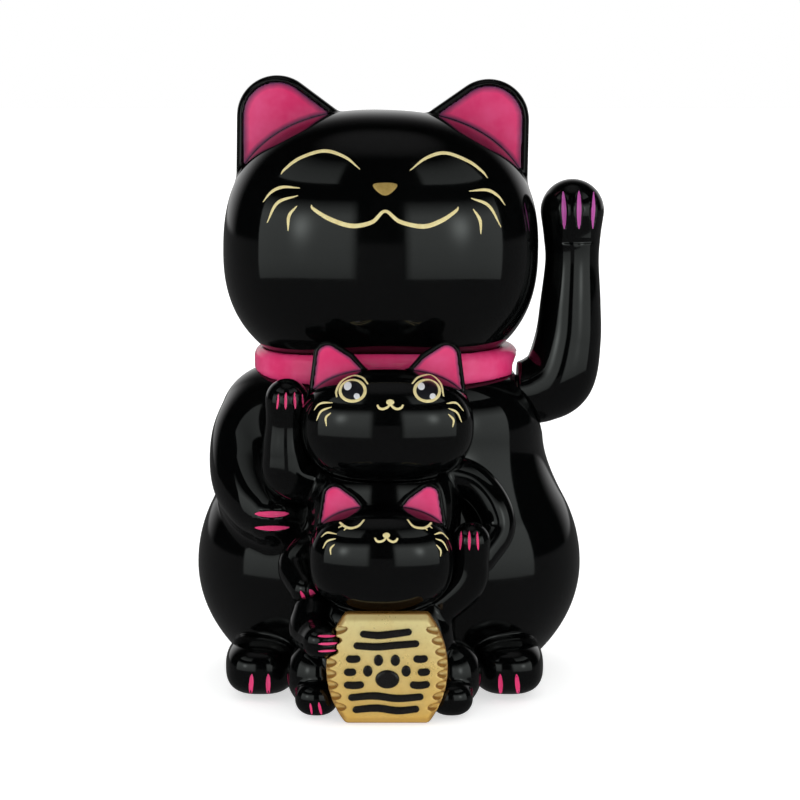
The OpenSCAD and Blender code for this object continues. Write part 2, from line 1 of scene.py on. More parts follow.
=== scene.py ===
import bpy
import bmesh
import math
import numpy as np
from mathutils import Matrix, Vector


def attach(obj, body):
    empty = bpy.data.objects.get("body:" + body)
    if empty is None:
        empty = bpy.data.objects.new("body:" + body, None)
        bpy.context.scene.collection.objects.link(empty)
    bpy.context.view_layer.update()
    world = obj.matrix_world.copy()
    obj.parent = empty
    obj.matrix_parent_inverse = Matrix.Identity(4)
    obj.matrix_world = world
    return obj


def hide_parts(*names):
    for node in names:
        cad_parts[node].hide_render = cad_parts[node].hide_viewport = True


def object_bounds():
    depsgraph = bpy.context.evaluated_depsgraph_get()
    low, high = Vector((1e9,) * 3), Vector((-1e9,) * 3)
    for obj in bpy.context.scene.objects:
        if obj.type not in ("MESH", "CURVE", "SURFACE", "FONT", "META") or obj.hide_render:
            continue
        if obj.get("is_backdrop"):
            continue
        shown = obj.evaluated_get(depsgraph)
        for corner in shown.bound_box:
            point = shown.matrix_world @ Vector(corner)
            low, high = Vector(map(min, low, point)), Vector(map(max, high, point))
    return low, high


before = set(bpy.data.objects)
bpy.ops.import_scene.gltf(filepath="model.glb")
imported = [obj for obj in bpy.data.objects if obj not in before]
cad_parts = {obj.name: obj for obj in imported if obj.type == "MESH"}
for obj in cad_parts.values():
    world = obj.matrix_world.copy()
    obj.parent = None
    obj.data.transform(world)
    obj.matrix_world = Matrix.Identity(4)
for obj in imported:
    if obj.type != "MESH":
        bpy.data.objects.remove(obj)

mm = 0.001
cadLow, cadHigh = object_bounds()
print("frame loaded, CAD box", [round(v / mm, 1) for v in (*cadLow, *cadHigh)])


# solid forms as distance fields, in millimetres: each takes points (n, 3) and gives distances (n,)

def egg(centre, radii, power=2.0, bottom=None, plan=None):
    # power 2 is an ellipsoid, more is squarer; bottom is the height of the lower half,
    # plan the power seen from above
    centre = np.array(centre, float)
    a, b, top = radii
    low = bottom or top
    plan = plan or power

    def field(p):
        q = p - centre
        c = np.where(q[:, 2] > 0, top, low)
        x, y, z = np.abs(q[:, 0]) / a, np.abs(q[:, 1]) / b, np.abs(q[:, 2]) / c
        flat = (x ** plan + y ** plan + 1e-12) ** (1 / plan)
        g = (flat ** power + z ** power + 1e-12) ** (1 / power)
        side = g ** (1 - power) * flat ** (power - 1) * (flat + 1e-9) ** (1 - plan)
        dx, dy = side * x ** (plan - 1) / a, side * y ** (plan - 1) / b
        dz = g ** (1 - power) * z ** (power - 1) / c
        slope = np.sqrt(dx * dx + dy * dy + dz * dz)
        return (g - 1) / np.maximum(slope, 0.3 / max(a, b, top, low))
    return field


def smoothPath(points, count):
    # Catmull-Rom line through points of any width (place, and radius if it is given)
    p = np.array(points, float)
    p = np.vstack([2 * p[0] - p[1], p, 2 * p[-1] - p[-2]])
    out = []
    spans = len(p) - 3
    for t in np.linspace(0, spans, count):
        i = min(int(t), spans - 1)
        u = t - i
        a, b, c, d = p[i:i + 4]
        bend, twist = 2 * a - 5 * b + 4 * c - d, 3 * b - a - 3 * c + d
        out.append(0.5 * (2 * b + (c - a) * u + bend * u * u + twist * u ** 3))
    return np.array(out)


def limb(points):
    # a round limb on a smooth line through points (x, y, z, radius)
    p = np.array(points, float)
    p = np.vstack([2 * p[0] - p[1], p, 2 * p[-1] - p[-2]])
    spans = len(p) - 3
    a, b, c, d = p[:-3], p[1:-2], p[2:-1], p[3:]
    cubic = 0.5 * np.stack([2 * b, c - a, 2 * a - 5 * b + 4 * c - d, 3 * b - a - 3 * c + d])

    def reachAt(q, t):
        i = np.clip(t.astype(int), 0, spans - 1)
        u = (t - i)[:, None]
        k = cubic[:, i]
        s = k[0] + u * (k[1] + u * (k[2] + u * k[3]))
        return np.sqrt(((q - s[:, :3]) ** 2).sum(1)) - s[:, 3]

    starts = np.linspace(0, spans, 5 * spans + 1)
    line = smoothPath(points, 5 * spans + 1)
    middle = line[:, :3].mean(0)
    reach = (np.linalg.norm(line[:, :3] - middle, axis=1) + line[:, 3]).max()

    def field(p):
        out = np.linalg.norm(p - middle, axis=1) - reach
        close = out < 15
        q = p[close]
        best, t = np.full(len(q), 1e9), np.zeros(len(q))
        for start, s in zip(starts, line):
            d = np.sqrt(((q - s[:3]) ** 2).sum(1)) - s[3]
            better = d < best
            best[better], t[better] = d[better], start
        for h in (0.1, 0.03, 0.01):
            # the lowest point of the parabola through three nearby places
            before, here, after = reachAt(q, t - h), reachAt(q, t), reachAt(q, t + h)
            bend = before - 2 * here + after
            t = np.clip(t + np.clip(h * (before - after) / np.maximum(2 * bend, 1e-6), -h, h), 0, spans)
        out[close] = reachAt(q, t)
        return out
    return field


def blendUnion(width, *fields):
    # fields melt into each other over the given width
    def field(p):
        total = fields[0](p)
        for other in fields[1:]:
            d = other(p)
            h = np.clip(0.5 + 0.5 * (d - total) / width, 0, 1)
            total = d + (total - d) * h - width * h * (1 - h)
        return total
    return field


def carve(width, solid, hole):
    # solid without hole, its edge rounded over the given width
    def field(p):
        a, b = solid(p), -hole(p)
        h = np.clip(0.5 - 0.5 * (b - a) / width, 0, 1)
        return b + (a - b) * h + width * h * (1 - h)
    return field


def overlap(width, first, second):
    return carve(width, first, lambda p: -second(p))


def mirrored(field):
    # the same form on both sides of x = 0
    return lambda p: field(np.column_stack([np.abs(p[:, 0]), p[:, 1:]]))


def turned(p, offset, lean):
    # points as seen from a place that leans by some degrees about +Y
    c, s = math.cos(math.radians(lean)), math.sin(math.radians(lean))
    q = p - np.array(offset, float)
    return np.column_stack([c * q[:, 0] - s * q[:, 2], q[:, 1], s * q[:, 0] + c * q[:, 2]])


def moved(field, offset, lean=0.0):
    return lambda p: field(turned(p, offset, lean))


def plane(point, outward):
    # all that lies behind a flat face
    point, outward = np.array(point, float), np.array(outward, float)
    return lambda p: (p - point) @ outward


def above(z):
    return plane((0, 0, z), (0, 0, -1))


def below(z):
    return plane((0, 0, z), (0, 0, 1))


def rodX(y, z, radius, start=-1e3, end=1e3):
    # a round rod along X
    def field(p):
        ends = np.maximum(start - p[:, 0], p[:, 0] - end)
        return np.maximum(np.hypot(p[:, 1] - y, p[:, 2] - z) - radius, ends)
    return field


def bandDistance(circles, x, z):
    # signed distance to the line of a tight band round a few circles (x, z, radius)
    best = np.full(len(x), 1e9)
    ring = list(zip(circles, circles[1:] + circles[:1]))
    inside = np.ones(len(x), bool)
    turn = sum(a[0] * b[1] - b[0] * a[1] for a, b in ring)
    for (ax, az, ar), (bx, bz, br) in ring:
        length = math.hypot(bx - ax, bz - az)
        ux, uz = (bx - ax) / length, (bz - az) / length
        along, side = (x - ax) * ux + (z - az) * uz, (z - az) * ux - (x - ax) * uz
        inside &= side * turn > 0
        side = np.abs(side)
        b = (ar - br) / length
        a = math.sqrt(1 - b * b)
        k = along * a - side * b
        d = np.where(k > a * length, np.hypot(along - length, side) - br, side * a + along * b - ar)
        best = np.minimum(best, np.where(k < 0, np.hypot(along, side) - ar, d))
    return np.where(inside, np.minimum(best, -min(c[2] for c in circles)), best)


def slab(circles, front, back, rounding, inset=0.0):
    # a band's outline in the XZ plane made solid from y = front to y = back, with rounded edges
    middle, half = (front + back) / 2, (back - front) / 2

    def field(p):
        u = bandDistance(circles, p[:, 0], p[:, 2]) + inset + rounding
        v = np.abs(p[:, 1] - middle) - half + rounding
        return np.minimum(np.maximum(u, v), 0) + np.hypot(np.maximum(u, 0), np.maximum(v, 0)) - rounding
    return field


# from a field to an even mesh of quads

pyramid = np.array([[1, 1, 1], [1, -1, -1], [-1, 1, -1], [-1, -1, 1]], float)


def probe(field, p, h=0.15):
    # value and slope of a field from four points round each place
    parts = [field(p + h * k) for k in pyramid]
    slope = sum(v[:, None] * k for v, k in zip(parts, pyramid)) / (4 * h)
    return sum(parts) / 4, slope


def settle(field, p, rounds=3):
    # moves points onto the field's surface
    for _ in range(rounds):
        value, slope = probe(field, p)
        steep = np.maximum((slope * slope).sum(1), 0.2)
        p = p - slope * np.clip(value / steep, -1.5, 1.5)[:, None]
    return p


corners = [(i, j, k) for i in (0, 1) for j in (0, 1) for k in (0, 1)]


def shifted(corner, shape):
    # the block of a grid that starts at one of its corners
    return tuple(slice(start, start + size) for start, size in zip(corner, shape))


def skin(field, low, high, cell, relax=4):
    # the surface inside a box: coarse blocks find it, then fine cells near it, then it is evened out
    low = np.array(low, float) - cell
    blocks = np.ceil((np.array(high, float) + cell - low) / (4 * cell)).astype(int)
    cx, cy, cz = [low[i] + 4 * cell * np.arange(blocks[i] + 1) for i in range(3)]
    coarse = np.stack(np.meshgrid(cx, cy, cz, indexing="ij"), -1)
    far = field(coarse.reshape(-1, 3)).reshape(coarse.shape[:3])
    near = np.abs(far) < 4 * cell * 1.9
    active = np.zeros(blocks, bool)
    for corner in corners:
        active |= near[shifted(corner, blocks)]
    fine = np.kron(active, np.ones((4, 4, 4), bool))
    mask = np.zeros(np.array(fine.shape) + 1, bool)
    for corner in corners:
        mask[shifted(corner, fine.shape)] |= fine
    nearest = [np.minimum((np.arange(n) + 2) // 4, b) for n, b in zip(mask.shape, blocks)]
    values = np.sign(far)[np.ix_(*nearest)] * 99.0
    where = np.argwhere(mask)
    for part in np.array_split(np.arange(len(where)), max(1, len(where) // 300000)):
        values[tuple(where[part].T)] = field(low + cell * where[part])
    inside = values < 0
    # one vertex in each cell that the surface crosses, at the mean of its edge crossings
    shape = np.array(values.shape) - 1
    count = sum(inside[shifted(corner, shape)].astype(int) for corner in corners)
    cells = np.argwhere((count > 0) & (count < 8))
    index = np.full(shape, -1)
    index[tuple(cells.T)] = np.arange(len(cells))
    place, hits = np.zeros((len(cells), 3)), np.zeros(len(cells))
    for a in corners:
        for axis in range(3):
            if a[axis]:
                continue
            b = list(a)
            b[axis] = 1
            va, vb = values[tuple((cells + a).T)], values[tuple((cells + b).T)]
            cross = (va < 0) != (vb < 0)
            t = np.where(cross, va / np.where(cross, va - vb, 1), 0)
            q = cells + np.array(a, float)
            q[:, axis] += t
            place[cross] += q[cross]
            hits += cross
    points = low + cell * place / hits[:, None]
    quads = []
    for axis in range(3):
        u, v = (axis + 1) % 3, (axis + 2) % 3
        take = [slice(None)] * 3
        take[axis] = slice(0, shape[axis])
        ahead = list(take)
        ahead[axis] = slice(1, shape[axis] + 1)
        edge = np.argwhere(inside[tuple(take)] != inside[tuple(ahead)])
        edge = edge[(edge[:, u] > 0) & (edge[:, v] > 0) & (edge[:, u] < shape[u]) & (edge[:, v] < shape[v])]
        du, dv = np.eye(3, dtype=int)[u], np.eye(3, dtype=int)[v]
        ring = np.stack([index[tuple((edge - o).T)] for o in (du + dv, dv, 0 * du, du)], 1)
        flip = ~inside[tuple(edge.T)]
        ring[flip] = ring[flip][:, ::-1]
        quads.append(ring)
    quads = np.vstack(quads)
    quads = quads[(quads >= 0).all(1)]
    points = settle(field, points, 2)
    ends = np.vstack([quads[:, [0, 1]], quads[:, [1, 2]], quads[:, [2, 3]], quads[:, [3, 0]]])
    for _ in range(relax):
        total, number = np.zeros_like(points), np.zeros(len(points))
        for a, b in ((0, 1), (1, 0)):
            np.add.at(total, ends[:, a], points[ends[:, b]])
            np.add.at(number, ends[:, a], 1)
        points = settle(field, points + 0.5 * (total / np.maximum(number, 1)[:, None] - points), 1)
    return settle(field, points, 1), quads


def normalsAt(field, points, h=0.3):
    slope = probe(field, points, h)[1]
    return slope / np.maximum(np.linalg.norm(slope, axis=1, keepdims=True), 1e-9)


def linked(name, mesh, material):
    # a smooth object of a mesh
    mesh.polygons.foreach_set("use_smooth", [True] * len(mesh.polygons))
    mesh.materials.append(material)
    obj = bpy.data.objects.new(name, mesh)
    bpy.context.scene.collection.objects.link(obj)
    return obj


def makeObject(name, points, faces, material):
    # points in millimetres
    mesh = bpy.data.meshes.new(name)
    mesh.from_pydata((points * mm).tolist(), [], faces)
    return linked(name, mesh, material)


def pointValues(obj, name, values):
    layer = obj.data.attributes.new(name, "FLOAT", "POINT")
    layer.data.foreach_set("value", values.astype(np.float32))


def belongs(obj, body, slot, *nodes):
    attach(obj, body)
    if nodes:
        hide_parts(*nodes)
    return obj


def solidPiece(name, form, box, cell, finish, slot, node, relax=4):
    # one closed piece of the fixed figure, straight from its field
    points, quads = skin(form, *box, cell, relax)
    print("  ", name, len(points), "points")
    piece = makeObject(name, points, quads.tolist(), finishes[finish])
    piece.data.normals_split_custom_set_from_vertices(normalsAt(form, points).tolist())
    return belongs(piece, "figure", slot, node)


def halves(names, nodes, rides, field, box, cell, groove=0.2):
    # a form parted at y = 0 into a front and a rear moulding that meet in a fine groove
    points, quads = skin(field, *box, cell)
    print("  ", names[0], len(points), "points")
    source = bmesh.new()
    for p in points:
        source.verts.new(p)
    source.verts.ensure_lookup_table()
    for q in quads.tolist():
        source.faces.new([source.verts[i] for i in q])
    for name, node, side in zip(names, nodes, (-1, 1)):
        bm = source.copy()
        for at, clear in ((0.3, False), (0.02, True)):
            bmesh.ops.bisect_plane(bm, geom=bm.verts[:] + bm.edges[:] + bm.faces[:], dist=1e-5,
                                   plane_co=(0, side * at, 0), plane_no=(0, -side, 0), clear_outer=clear)
        rim = [e for e in bm.edges if e.is_boundary]
        caps = bmesh.ops.triangle_fill(bm, use_beauty=True, edges=rim, normal=(0, -side, 0))["geom"]
        caps = {f for f in caps if isinstance(f, bmesh.types.BMFace)}
        bmesh.ops.recalc_face_normals(bm, faces=bm.faces[:])
        bm.verts.index_update()
        place = np.array([v.co[:] for v in bm.verts])
        normals = normalsAt(field, place)
        edge = np.abs(place[:, 1] - side * 0.02) < 1e-3
        place[edge] -= normals[edge] * [groove, 0, groove]
        for v, co in zip(bm.verts, place):
            v.co = co * mm
        mesh = bpy.data.meshes.new(name)
        bm.faces.index_update()
        flat = {f.index for f in caps}
        bm.to_mesh(mesh)
        bm.free()
        obj = linked(name, mesh, finishes["blackPlastic"])
        owners = np.empty(len(mesh.loops), int)
        mesh.loops.foreach_get("vertex_index", owners)
        perCorner = normals[owners]
        for f in flat:
            loops = mesh.polygons[f].loop_indices
            perCorner[loops.start:loops.stop] = (0, -side, 0)
        mesh.normals_split_custom_set(perCorner.tolist())
        belongs(obj, rides, "black_plastic", node)
    source.free()


# brushed paint: thin closed ribbons that lie on the front of a field

def engraved(field, marks, depth, behind=0.0):
    # lens-shaped grooves pressed into the front of a form
    # a mark is (x, z, half length, half width, degrees from upright)
    def cut(p):
        groove = np.zeros(len(p))
        for x, z, length, width, lean in marks:
            c, s = math.cos(math.radians(lean)), math.sin(math.radians(lean))
            dx, dz = p[:, 0] - x, p[:, 2] - z
            along, across = (dx * s + dz * c) / length, (dx * c - dz * s) / width
            lens = np.clip(1 - along * along, 0, 1)
            groove = np.maximum(groove, lens * np.clip(1 - (across / np.maximum(lens, 0.05)) ** 2, 0, 1))
        return field(p) + depth * groove * (p[:, 1] < behind)
    return cut


def fromFront(field, line, start=-130.0):
    # where lines along +Y through places (x, z) first meet the surface
    p = np.column_stack([line[:, 0], np.full(len(line), start), line[:, 1]])
    for _ in range(70):
        p[:, 1] += np.clip(field(p), -0.5, 8) * 0.8
    return settle(field, p, 2)


def brushLine(field, path, widths, proud=0.12, step=0.6, lines=7, blunt=False):
    # one stroke through places (x, z), with the widths it has along its way; blunt ends are round
    path = np.array(path, float)
    length = np.linalg.norm(np.diff(path, axis=0), axis=1).sum()
    count = max(10, int(length / step))
    if blunt:
        count = 2 * count
        u = (1 - np.cos(np.linspace(0, np.pi, count))) / 2
        line = smoothPath(path, 400)[np.minimum((u * 399).round().astype(int), 399)]
    else:
        u = np.linspace(0, 1, count)
        line = smoothPath(path, count) if len(path) > 2 else path[0] + (path[1] - path[0]) * u[:, None]
    middle = fromFront(field, line)
    width = np.interp(u * (len(widths) - 1), np.arange(len(widths)), widths)
    if blunt:
        gone = np.minimum(u, 1 - u) * length / (width / 2)
        width = np.maximum(width * np.sqrt(np.clip(1 - (1 - np.minimum(gone, 1)) ** 2, 0, 1)), 0.08)
    side = np.cross(normalsAt(field, middle), np.gradient(middle, axis=0))
    side /= np.linalg.norm(side, axis=1, keepdims=True)
    rows = []
    for a in np.linspace(-1, 1, lines):
        q = settle(field, middle + side * (a * width / 2)[:, None], 2)
        rows.append(q + normalsAt(field, q) * proud * (0.3 + 0.7 * math.sqrt(1 - a * a)))
    for a in (1, 0, -1):
        q = middle + side * (a * width / 2)[:, None]
        rows.append(q - normalsAt(field, middle) * 0.3)
    ring = len(rows)
    points = np.stack(rows, 1).reshape(-1, 3)
    faces = [(i * ring + k, i * ring + (k + 1) % ring, (i + 1) * ring + (k + 1) % ring, (i + 1) * ring + k)
             for i in range(count - 1) for k in range(ring)]
    faces += [tuple(range(ring))[::-1], tuple((count - 1) * ring + k for k in range(ring))]
    return points, faces


def brushPatch(field, centre, outline, proud=0.12, around=40, rings=6):
    # a filled spot; outline(angle) gives its edge from the centre
    turn = np.linspace(0, 2 * np.pi, around, endpoint=False)
    edge = np.array([outline(t) for t in turn])
    reach = np.linspace(0, 1, rings + 1)[1:]
    line = np.vstack([[centre]] + [np.array(centre) + r * edge for r in reach])
    top = fromFront(field, line)
    normal = normalsAt(field, top)
    lift = np.concatenate([[1]] + [np.full(around, 0.3 + 0.7 * math.sqrt(1 - r ** 8)) for r in reach])
    under = top[-around:] - normal[-around:] * 0.3
    bottom = top[:1] - normal[:1] * 0.3
    points = np.vstack([top + normal * (proud * lift)[:, None], under, bottom])
    faces = [(0, 1 + k, 1 + (k + 1) % around) for k in range(around)]
    for r in range(rings):
        a, b = 1 + r * around, 1 + (r + 1) * around
        faces += [(a + k, b + k, b + (k + 1) % around, a + (k + 1) % around) for k in range(around)]
    last, end = 1 + rings * around, 1 + (rings + 1) * around
    faces += [(last + k, end, last + (k + 1) % around) for k in range(around)]
    return points, faces


def oval(a, b, lean=0.0):
    c, s = math.cos(math.radians(lean)), math.sin(math.radians(lean))
    return lambda t: (a * math.cos(t) * c + b * math.sin(t) * s, b * math.sin(t) * c - a * math.cos(t) * s)


def painted(name, parts, finish, slot, *nodes, rides="figure"):
    # several strokes and spots as one piece
    points, faces, start = [], [], 0
    for p, f in parts:
        points.append(p)
        faces += [tuple(i + start for i in face) for face in f]
        start += len(p)
    bm = bmesh.new()
    places = [bm.verts.new(v) for v in np.vstack(points)]
    for f in faces:
        bm.faces.new([places[i] for i in f])
    bmesh.ops.recalc_face_normals(bm, faces=bm.faces[:])
    bmesh.ops.scale(bm, vec=(mm, mm, mm), verts=bm.verts[:])
    mesh = bpy.data.meshes.new(name)
    bm.to_mesh(mesh)
    bm.free()
    belongs(linked(name, mesh, finishes[finish]), rides, slot, *nodes)


clawWidths = [0.15, 0.62, 0.86, 0.97, 1.0, 0.97, 0.86, 0.62, 0.15]


def claws(field, marks):
    # paint in each groove, a little narrower than the groove
    lines = []
    for x, z, length, width, lean in marks:
        dx, dz = math.sin(math.radians(lean)) * length * 0.95, math.cos(math.radians(lean)) * length * 0.95
        widths = [1.7 * width * w for w in clawWidths]
        lines.append(brushLine(field, [(x - dx, z - dz), (x + dx, z + dz)], widths, 0.2, 0.45, 9))
    return lines


# materials

class Wire:
    # wraps a socket so that shader maths reads as ordinary maths
    def __init__(self, maker, socket):
        self.maker, self.socket = maker, socket

    def math(self, operation, *values):
        return self.maker.node("ShaderNodeMath", {"operation": operation}, list(values))

    def __add__(self, other):
        return self.math("ADD", self, other)

    def __radd__(self, other):
        return self.math("ADD", other, self)

    def __sub__(self, other):
        return self.math("SUBTRACT", self, other)

    def __rsub__(self, other):
        return self.math("SUBTRACT", other, self)

    def __mul__(self, other):
        return self.math("MULTIPLY", self, other)

    def __rmul__(self, other):
        return self.math("MULTIPLY", other, self)

    def most(self, other):
        return self.math("MAXIMUM", self, other)


class Finish:
    # a material with one Principled shader, its nodes added one at a time
    def __init__(self, name, **fixed):
        self.material = bpy.data.materials.new(name)
        self.material.use_nodes = True
        self.tree = self.material.node_tree
        self.shader = self.tree.nodes["Principled BSDF"]
        for socket, value in fixed.items():
            self.shader.inputs[socket.replace("_", " ")].default_value = value
        self.place = self.node("ShaderNodeTexCoord", {}, {}, "Object")

    def node(self, kind, settings, inputs, output=0):
        made = self.tree.nodes.new(kind)
        for key, value in settings.items():
            if key == "stops":
                ramp = made.color_ramp.elements
                while len(ramp) < len(value):
                    ramp.new(0.5)
                for stop, (position, colour) in zip(ramp, value):
                    stop.position, stop.color = position, colour
            else:
                setattr(made, key, value)
        pairs = inputs.items() if isinstance(inputs, dict) else enumerate(inputs)
        for key, value in pairs:
            if isinstance(value, Wire):
                self.tree.links.new(value.socket, made.inputs[key])
            else:
                made.inputs[key].default_value = value
        return Wire(self, made.outputs[output])

    def feed(self, socket, wire):
        self.tree.links.new(wire.socket, self.shader.inputs[socket])

    def noise(self, scale, detail=2.0, roughness=0.5, stretch=None):
        where = self.place
        if stretch:
            where = self.node("ShaderNodeMapping", {}, {"Vector": where, "Scale": stretch})
        return self.node("ShaderNodeTexNoise", {"normalize": True},
                         {"Vector": where, "Scale": scale, "Detail": detail, "Roughness": roughness})

    def ramp(self, wire, *stops):
        # grey or colour stops: (position, value or colour)
        stops = [(at, (v, v, v, 1) if isinstance(v, (int, float)) else (*v, 1)) for at, v in stops]
        return self.node("ShaderNodeValToRGB", {"stops": stops}, [wire])

    def mix(self, factor, a, b):
        # between two colours
        def whole(c):
            return c if isinstance(c, Wire) else (*c, 1)
        return self.node("ShaderNodeMix", {"data_type": "RGBA"}, {0: factor, 6: whole(a), 7: whole(b)}, 2)

    def tint(self, wire, start, end, first, second):
        # the base colour goes from the first colour to the second as the wire goes from start to end
        self.feed("Base Color", self.mix(self.ramp(wire, (start, 0), (end, 1)), first, second))

    def shine(self, wire, start, end, first, second):
        # the same for roughness
        self.feed("Roughness", self.ramp(wire, (start, first), (end, second)))

    def bump(self, height, distance, under=None):
        inputs = {"Height": height, "Distance": distance * mm, "Strength": 1.0}
        if under:
            inputs["Normal"] = under
        return self.node("ShaderNodeBump", {}, inputs, "Normal")


def glossyPlastic():
    # moulded black plastic with a lacquer-like shine, faint orange peel, handling marks and a little dust
    look = {"colour": (0.0012, 0.0014, 0.0015), "dust": (0.0035, 0.0035, 0.0035), "roughness": (0.05, 0.12),
            "peel": 0.006, "scratch": 0.0015}
    f = Finish("glossyPlastic", Specular_IOR_Level=0.5, IOR=1.5, Coat_Weight=0.25, Coat_Roughness=0.03)
    peel = f.noise(260, 2)
    smudge = f.noise(28, 4, 0.6)
    streaks = f.noise(900, 1, 0.5, stretch=(1, 1, 0.06))
    low, high = look["roughness"]
    f.shine(smudge, 0.35, 0.75, low, high)
    f.feed("Base Color", f.mix(f.ramp(smudge, (0.5, 0), (0.9, 0.5)), look["colour"], look["dust"]))
    grain = f.bump(streaks, look["scratch"])
    f.feed("Normal", f.bump(peel, look["peel"], grain))
    return f.material


def pinkPaint(name="pinkPaint", deep=(0.88, 0.035, 0.18), light=(0.94, 0.085, 0.27), shadeBorder=None):
    # brushed-on gloss paint: slightly uneven in colour; an inlay darkens to a purple band of painted shade
    # along its rim and where it meets the head
    f = Finish(name, Specular_IOR_Level=0.5, Coat_Weight=0.25, Coat_Roughness=0.08)
    cloud = f.noise(55, 3, 0.6)
    fine = f.noise(700, 2)
    colour = f.mix(f.ramp(cloud, (0.35, 0), (0.7, 1)), deep, light)
    if shadeBorder:
        # painted shade: the panel darkens to a purple-black band where the edge value falls towards the rim
        # and the head
        edge = f.node("ShaderNodeAttribute", {"attribute_name": "edge"}, {}, "Fac")
        shadeReach = edge + 0.25 * (f.noise(240, 3) - 0.5)
        colour = f.mix(f.ramp(shadeReach, (0.1, 0), (0.8, 1)), shadeBorder, colour)
    f.feed("Base Color", colour)
    f.shine(cloud, 0.3, 0.8, 0.16, 0.28)
    f.feed("Normal", f.bump(fine, 0.006))
    return f.material


def linePaint(name, colour, shade, metal=0.0):
    # thin enamel laid on with a fine brush
    f = Finish(name, Specular_IOR_Level=0.5, Metallic=metal, Coat_Weight=0.1)
    streak = f.noise(420, 3, 0.6)
    f.tint(streak, 0.35, 0.72, colour, shade)
    f.shine(streak, 0.3, 0.8, 0.26, 0.42)
    f.feed("Normal", f.bump(streak, 0.01))
    return f.material


def goldLeaf():
    # gold-painted plastic: satin and a little grainy; paler towards the top as painted light from above, and
    # ochre where it turns away from the front as painted shade
    f = Finish("goldLeaf", Metallic=0.28, Specular_IOR_Level=0.9, Coat_Weight=0.5, Coat_Roughness=0.14)
    cloud = f.noise(60, 3, 0.6)
    fine = f.noise(900, 2)
    grain = f.noise(420, 3, 0.6)
    # painted light: the gold grows paler with height, as if lit from above
    height = f.node("ShaderNodeSeparateXYZ", {}, [f.place], "Z") * 19.0 + 0.5 * (cloud - 0.5)
    tint = f.mix(f.ramp(height, (0.05, 0), (0.95, 1)), (0.96, 0.58, 0.12), (1.0, 0.84, 0.38))
    # painted shade: bevels and flutes that turn away from the front go dark ochre
    normal = f.node("ShaderNodeNewGeometry", {}, {}, "Normal")
    facingForPaintedShade = f.node("ShaderNodeSeparateXYZ", {}, [normal], "Y") * -1.0
    tint = f.mix(f.ramp(facingForPaintedShade, (0.6, 0), (0.985, 1)), (0.4, 0.19, 0.035), tint)
    f.feed("Base Color", f.mix(f.ramp(grain, (0.5, 0), (0.8, 0.25)), tint, (0.6, 0.34, 0.09)))
    f.shine(grain * 0.5 + cloud * 0.5, 0.3, 0.7, 0.24, 0.4)
    f.feed("Normal", f.bump(fine, 0.012, f.bump(cloud, 0.5)))
    return f.material


def moulded(name, colour, shade, rough, grain, size, **fixed):
    # plain moulding with a fine spark-eroded texture and flow clouds
    f = Finish(name, **fixed)
    cloud, fine = f.noise(45, 3, 0.6), f.noise(size, 3, 0.6)
    f.tint(cloud, 0.35, 0.75, colour, shade)
    f.shine(fine, 0.3, 0.7, *rough)
    f.feed("Normal", f.bump(fine, grain))
    return f.material


def metal(name, colour, shade, rough, stretch, grain=0.004):
    # drawn, turned or plated metal: fine lines and faint tarnish
    f = Finish(name, Metallic=1.0)
    cloud = f.noise(120, 4, 0.65)
    lines = f.noise(900, 2, 0.5, stretch=stretch)
    f.tint(cloud, 0.45, 0.8, colour, shade)
    f.shine(0.6 * lines + 0.4 * cloud, 0.3, 0.7, *rough)
    f.feed("Normal", f.bump(lines, grain))
    return f.material


def windingFinish():
    # enamelled wire laid in close turns round the bobbin; its colour is painted light and shade, bright
    # copper on each turn's crown and dark copper in the groove to the next
    f = Finish("windingFinish", Metallic=0.85, Coat_Weight=0.6, Coat_Roughness=0.12)
    bands = {"wave_type": "BANDS", "bands_direction": "Z", "wave_profile": "SIN"}
    wobble = {"Vector": f.place, "Scale": 700.0, "Distortion": 0.6, "Detail": 1.0}
    turns = f.node("ShaderNodeTexWave", bands, wobble)
    # painted shade in the grooves between turns and painted highlight on their crowns
    f.tint(turns, 0.1, 0.6, (0.2, 0.06, 0.02), (0.66, 0.27, 0.11))
    f.shine(f.noise(300, 2), 0.3, 0.7, 0.22, 0.35)
    f.feed("Normal", f.bump(turns, 0.12))
    return f.material


def boardFinish():
    # solder mask with faint copper tracks under it
    f = Finish("boardFinish", Coat_Weight=0.5, Coat_Roughness=0.15)
    tracks = f.node("ShaderNodeTexVoronoi", {"feature": "DISTANCE_TO_EDGE", "distance": "CHEBYCHEV"},
                    {"Vector": f.place, "Scale": 230.0, "Randomness": 0.5})
    f.tint(tracks, 0.1, 0.16, (0.05, 0.3, 0.12), (0.012, 0.12, 0.045))
    f.shine(f.noise(500, 3), 0.3, 0.7, 0.25, 0.4)
    f.feed("Normal", f.bump(f.ramp(tracks, (0.1, 1), (0.16, 0)), 0.03, f.bump(f.noise(900, 2), 0.004)))
    return f.material


def sleeveFinish(name, colour, band, split):
    # shrink sleeve with a plain band of another colour past x = split
    f = Finish(name, Coat_Weight=0.4, Coat_Roughness=0.1)
    along = f.node("ShaderNodeSeparateXYZ", {}, [f.place], "X")
    wrinkle = f.noise(160, 3, 0.6, stretch=(0.3, 1, 1))
    f.tint((along - split * mm) * 4000.0, 0.0, 1.0, colour, band)
    f.shine(wrinkle, 0.3, 0.7, 0.18, 0.32)
    f.feed("Normal", f.bump(wrinkle, 0.02))
    return f.material


def stageFloor():
    # matt and nearly white
    f = Finish("stageFloor", Specular_IOR_Level=0.1, Emission_Strength=0.62, Emission_Color=(1, 1, 1, 1))
    f.feed("Base Color", f.mix(f.noise(3, 2), (0.8, 0.8, 0.8), (0.84, 0.84, 0.84)))
    f.shine(f.noise(40, 3), 0.3, 0.7, 0.75, 0.85)
    return f.material


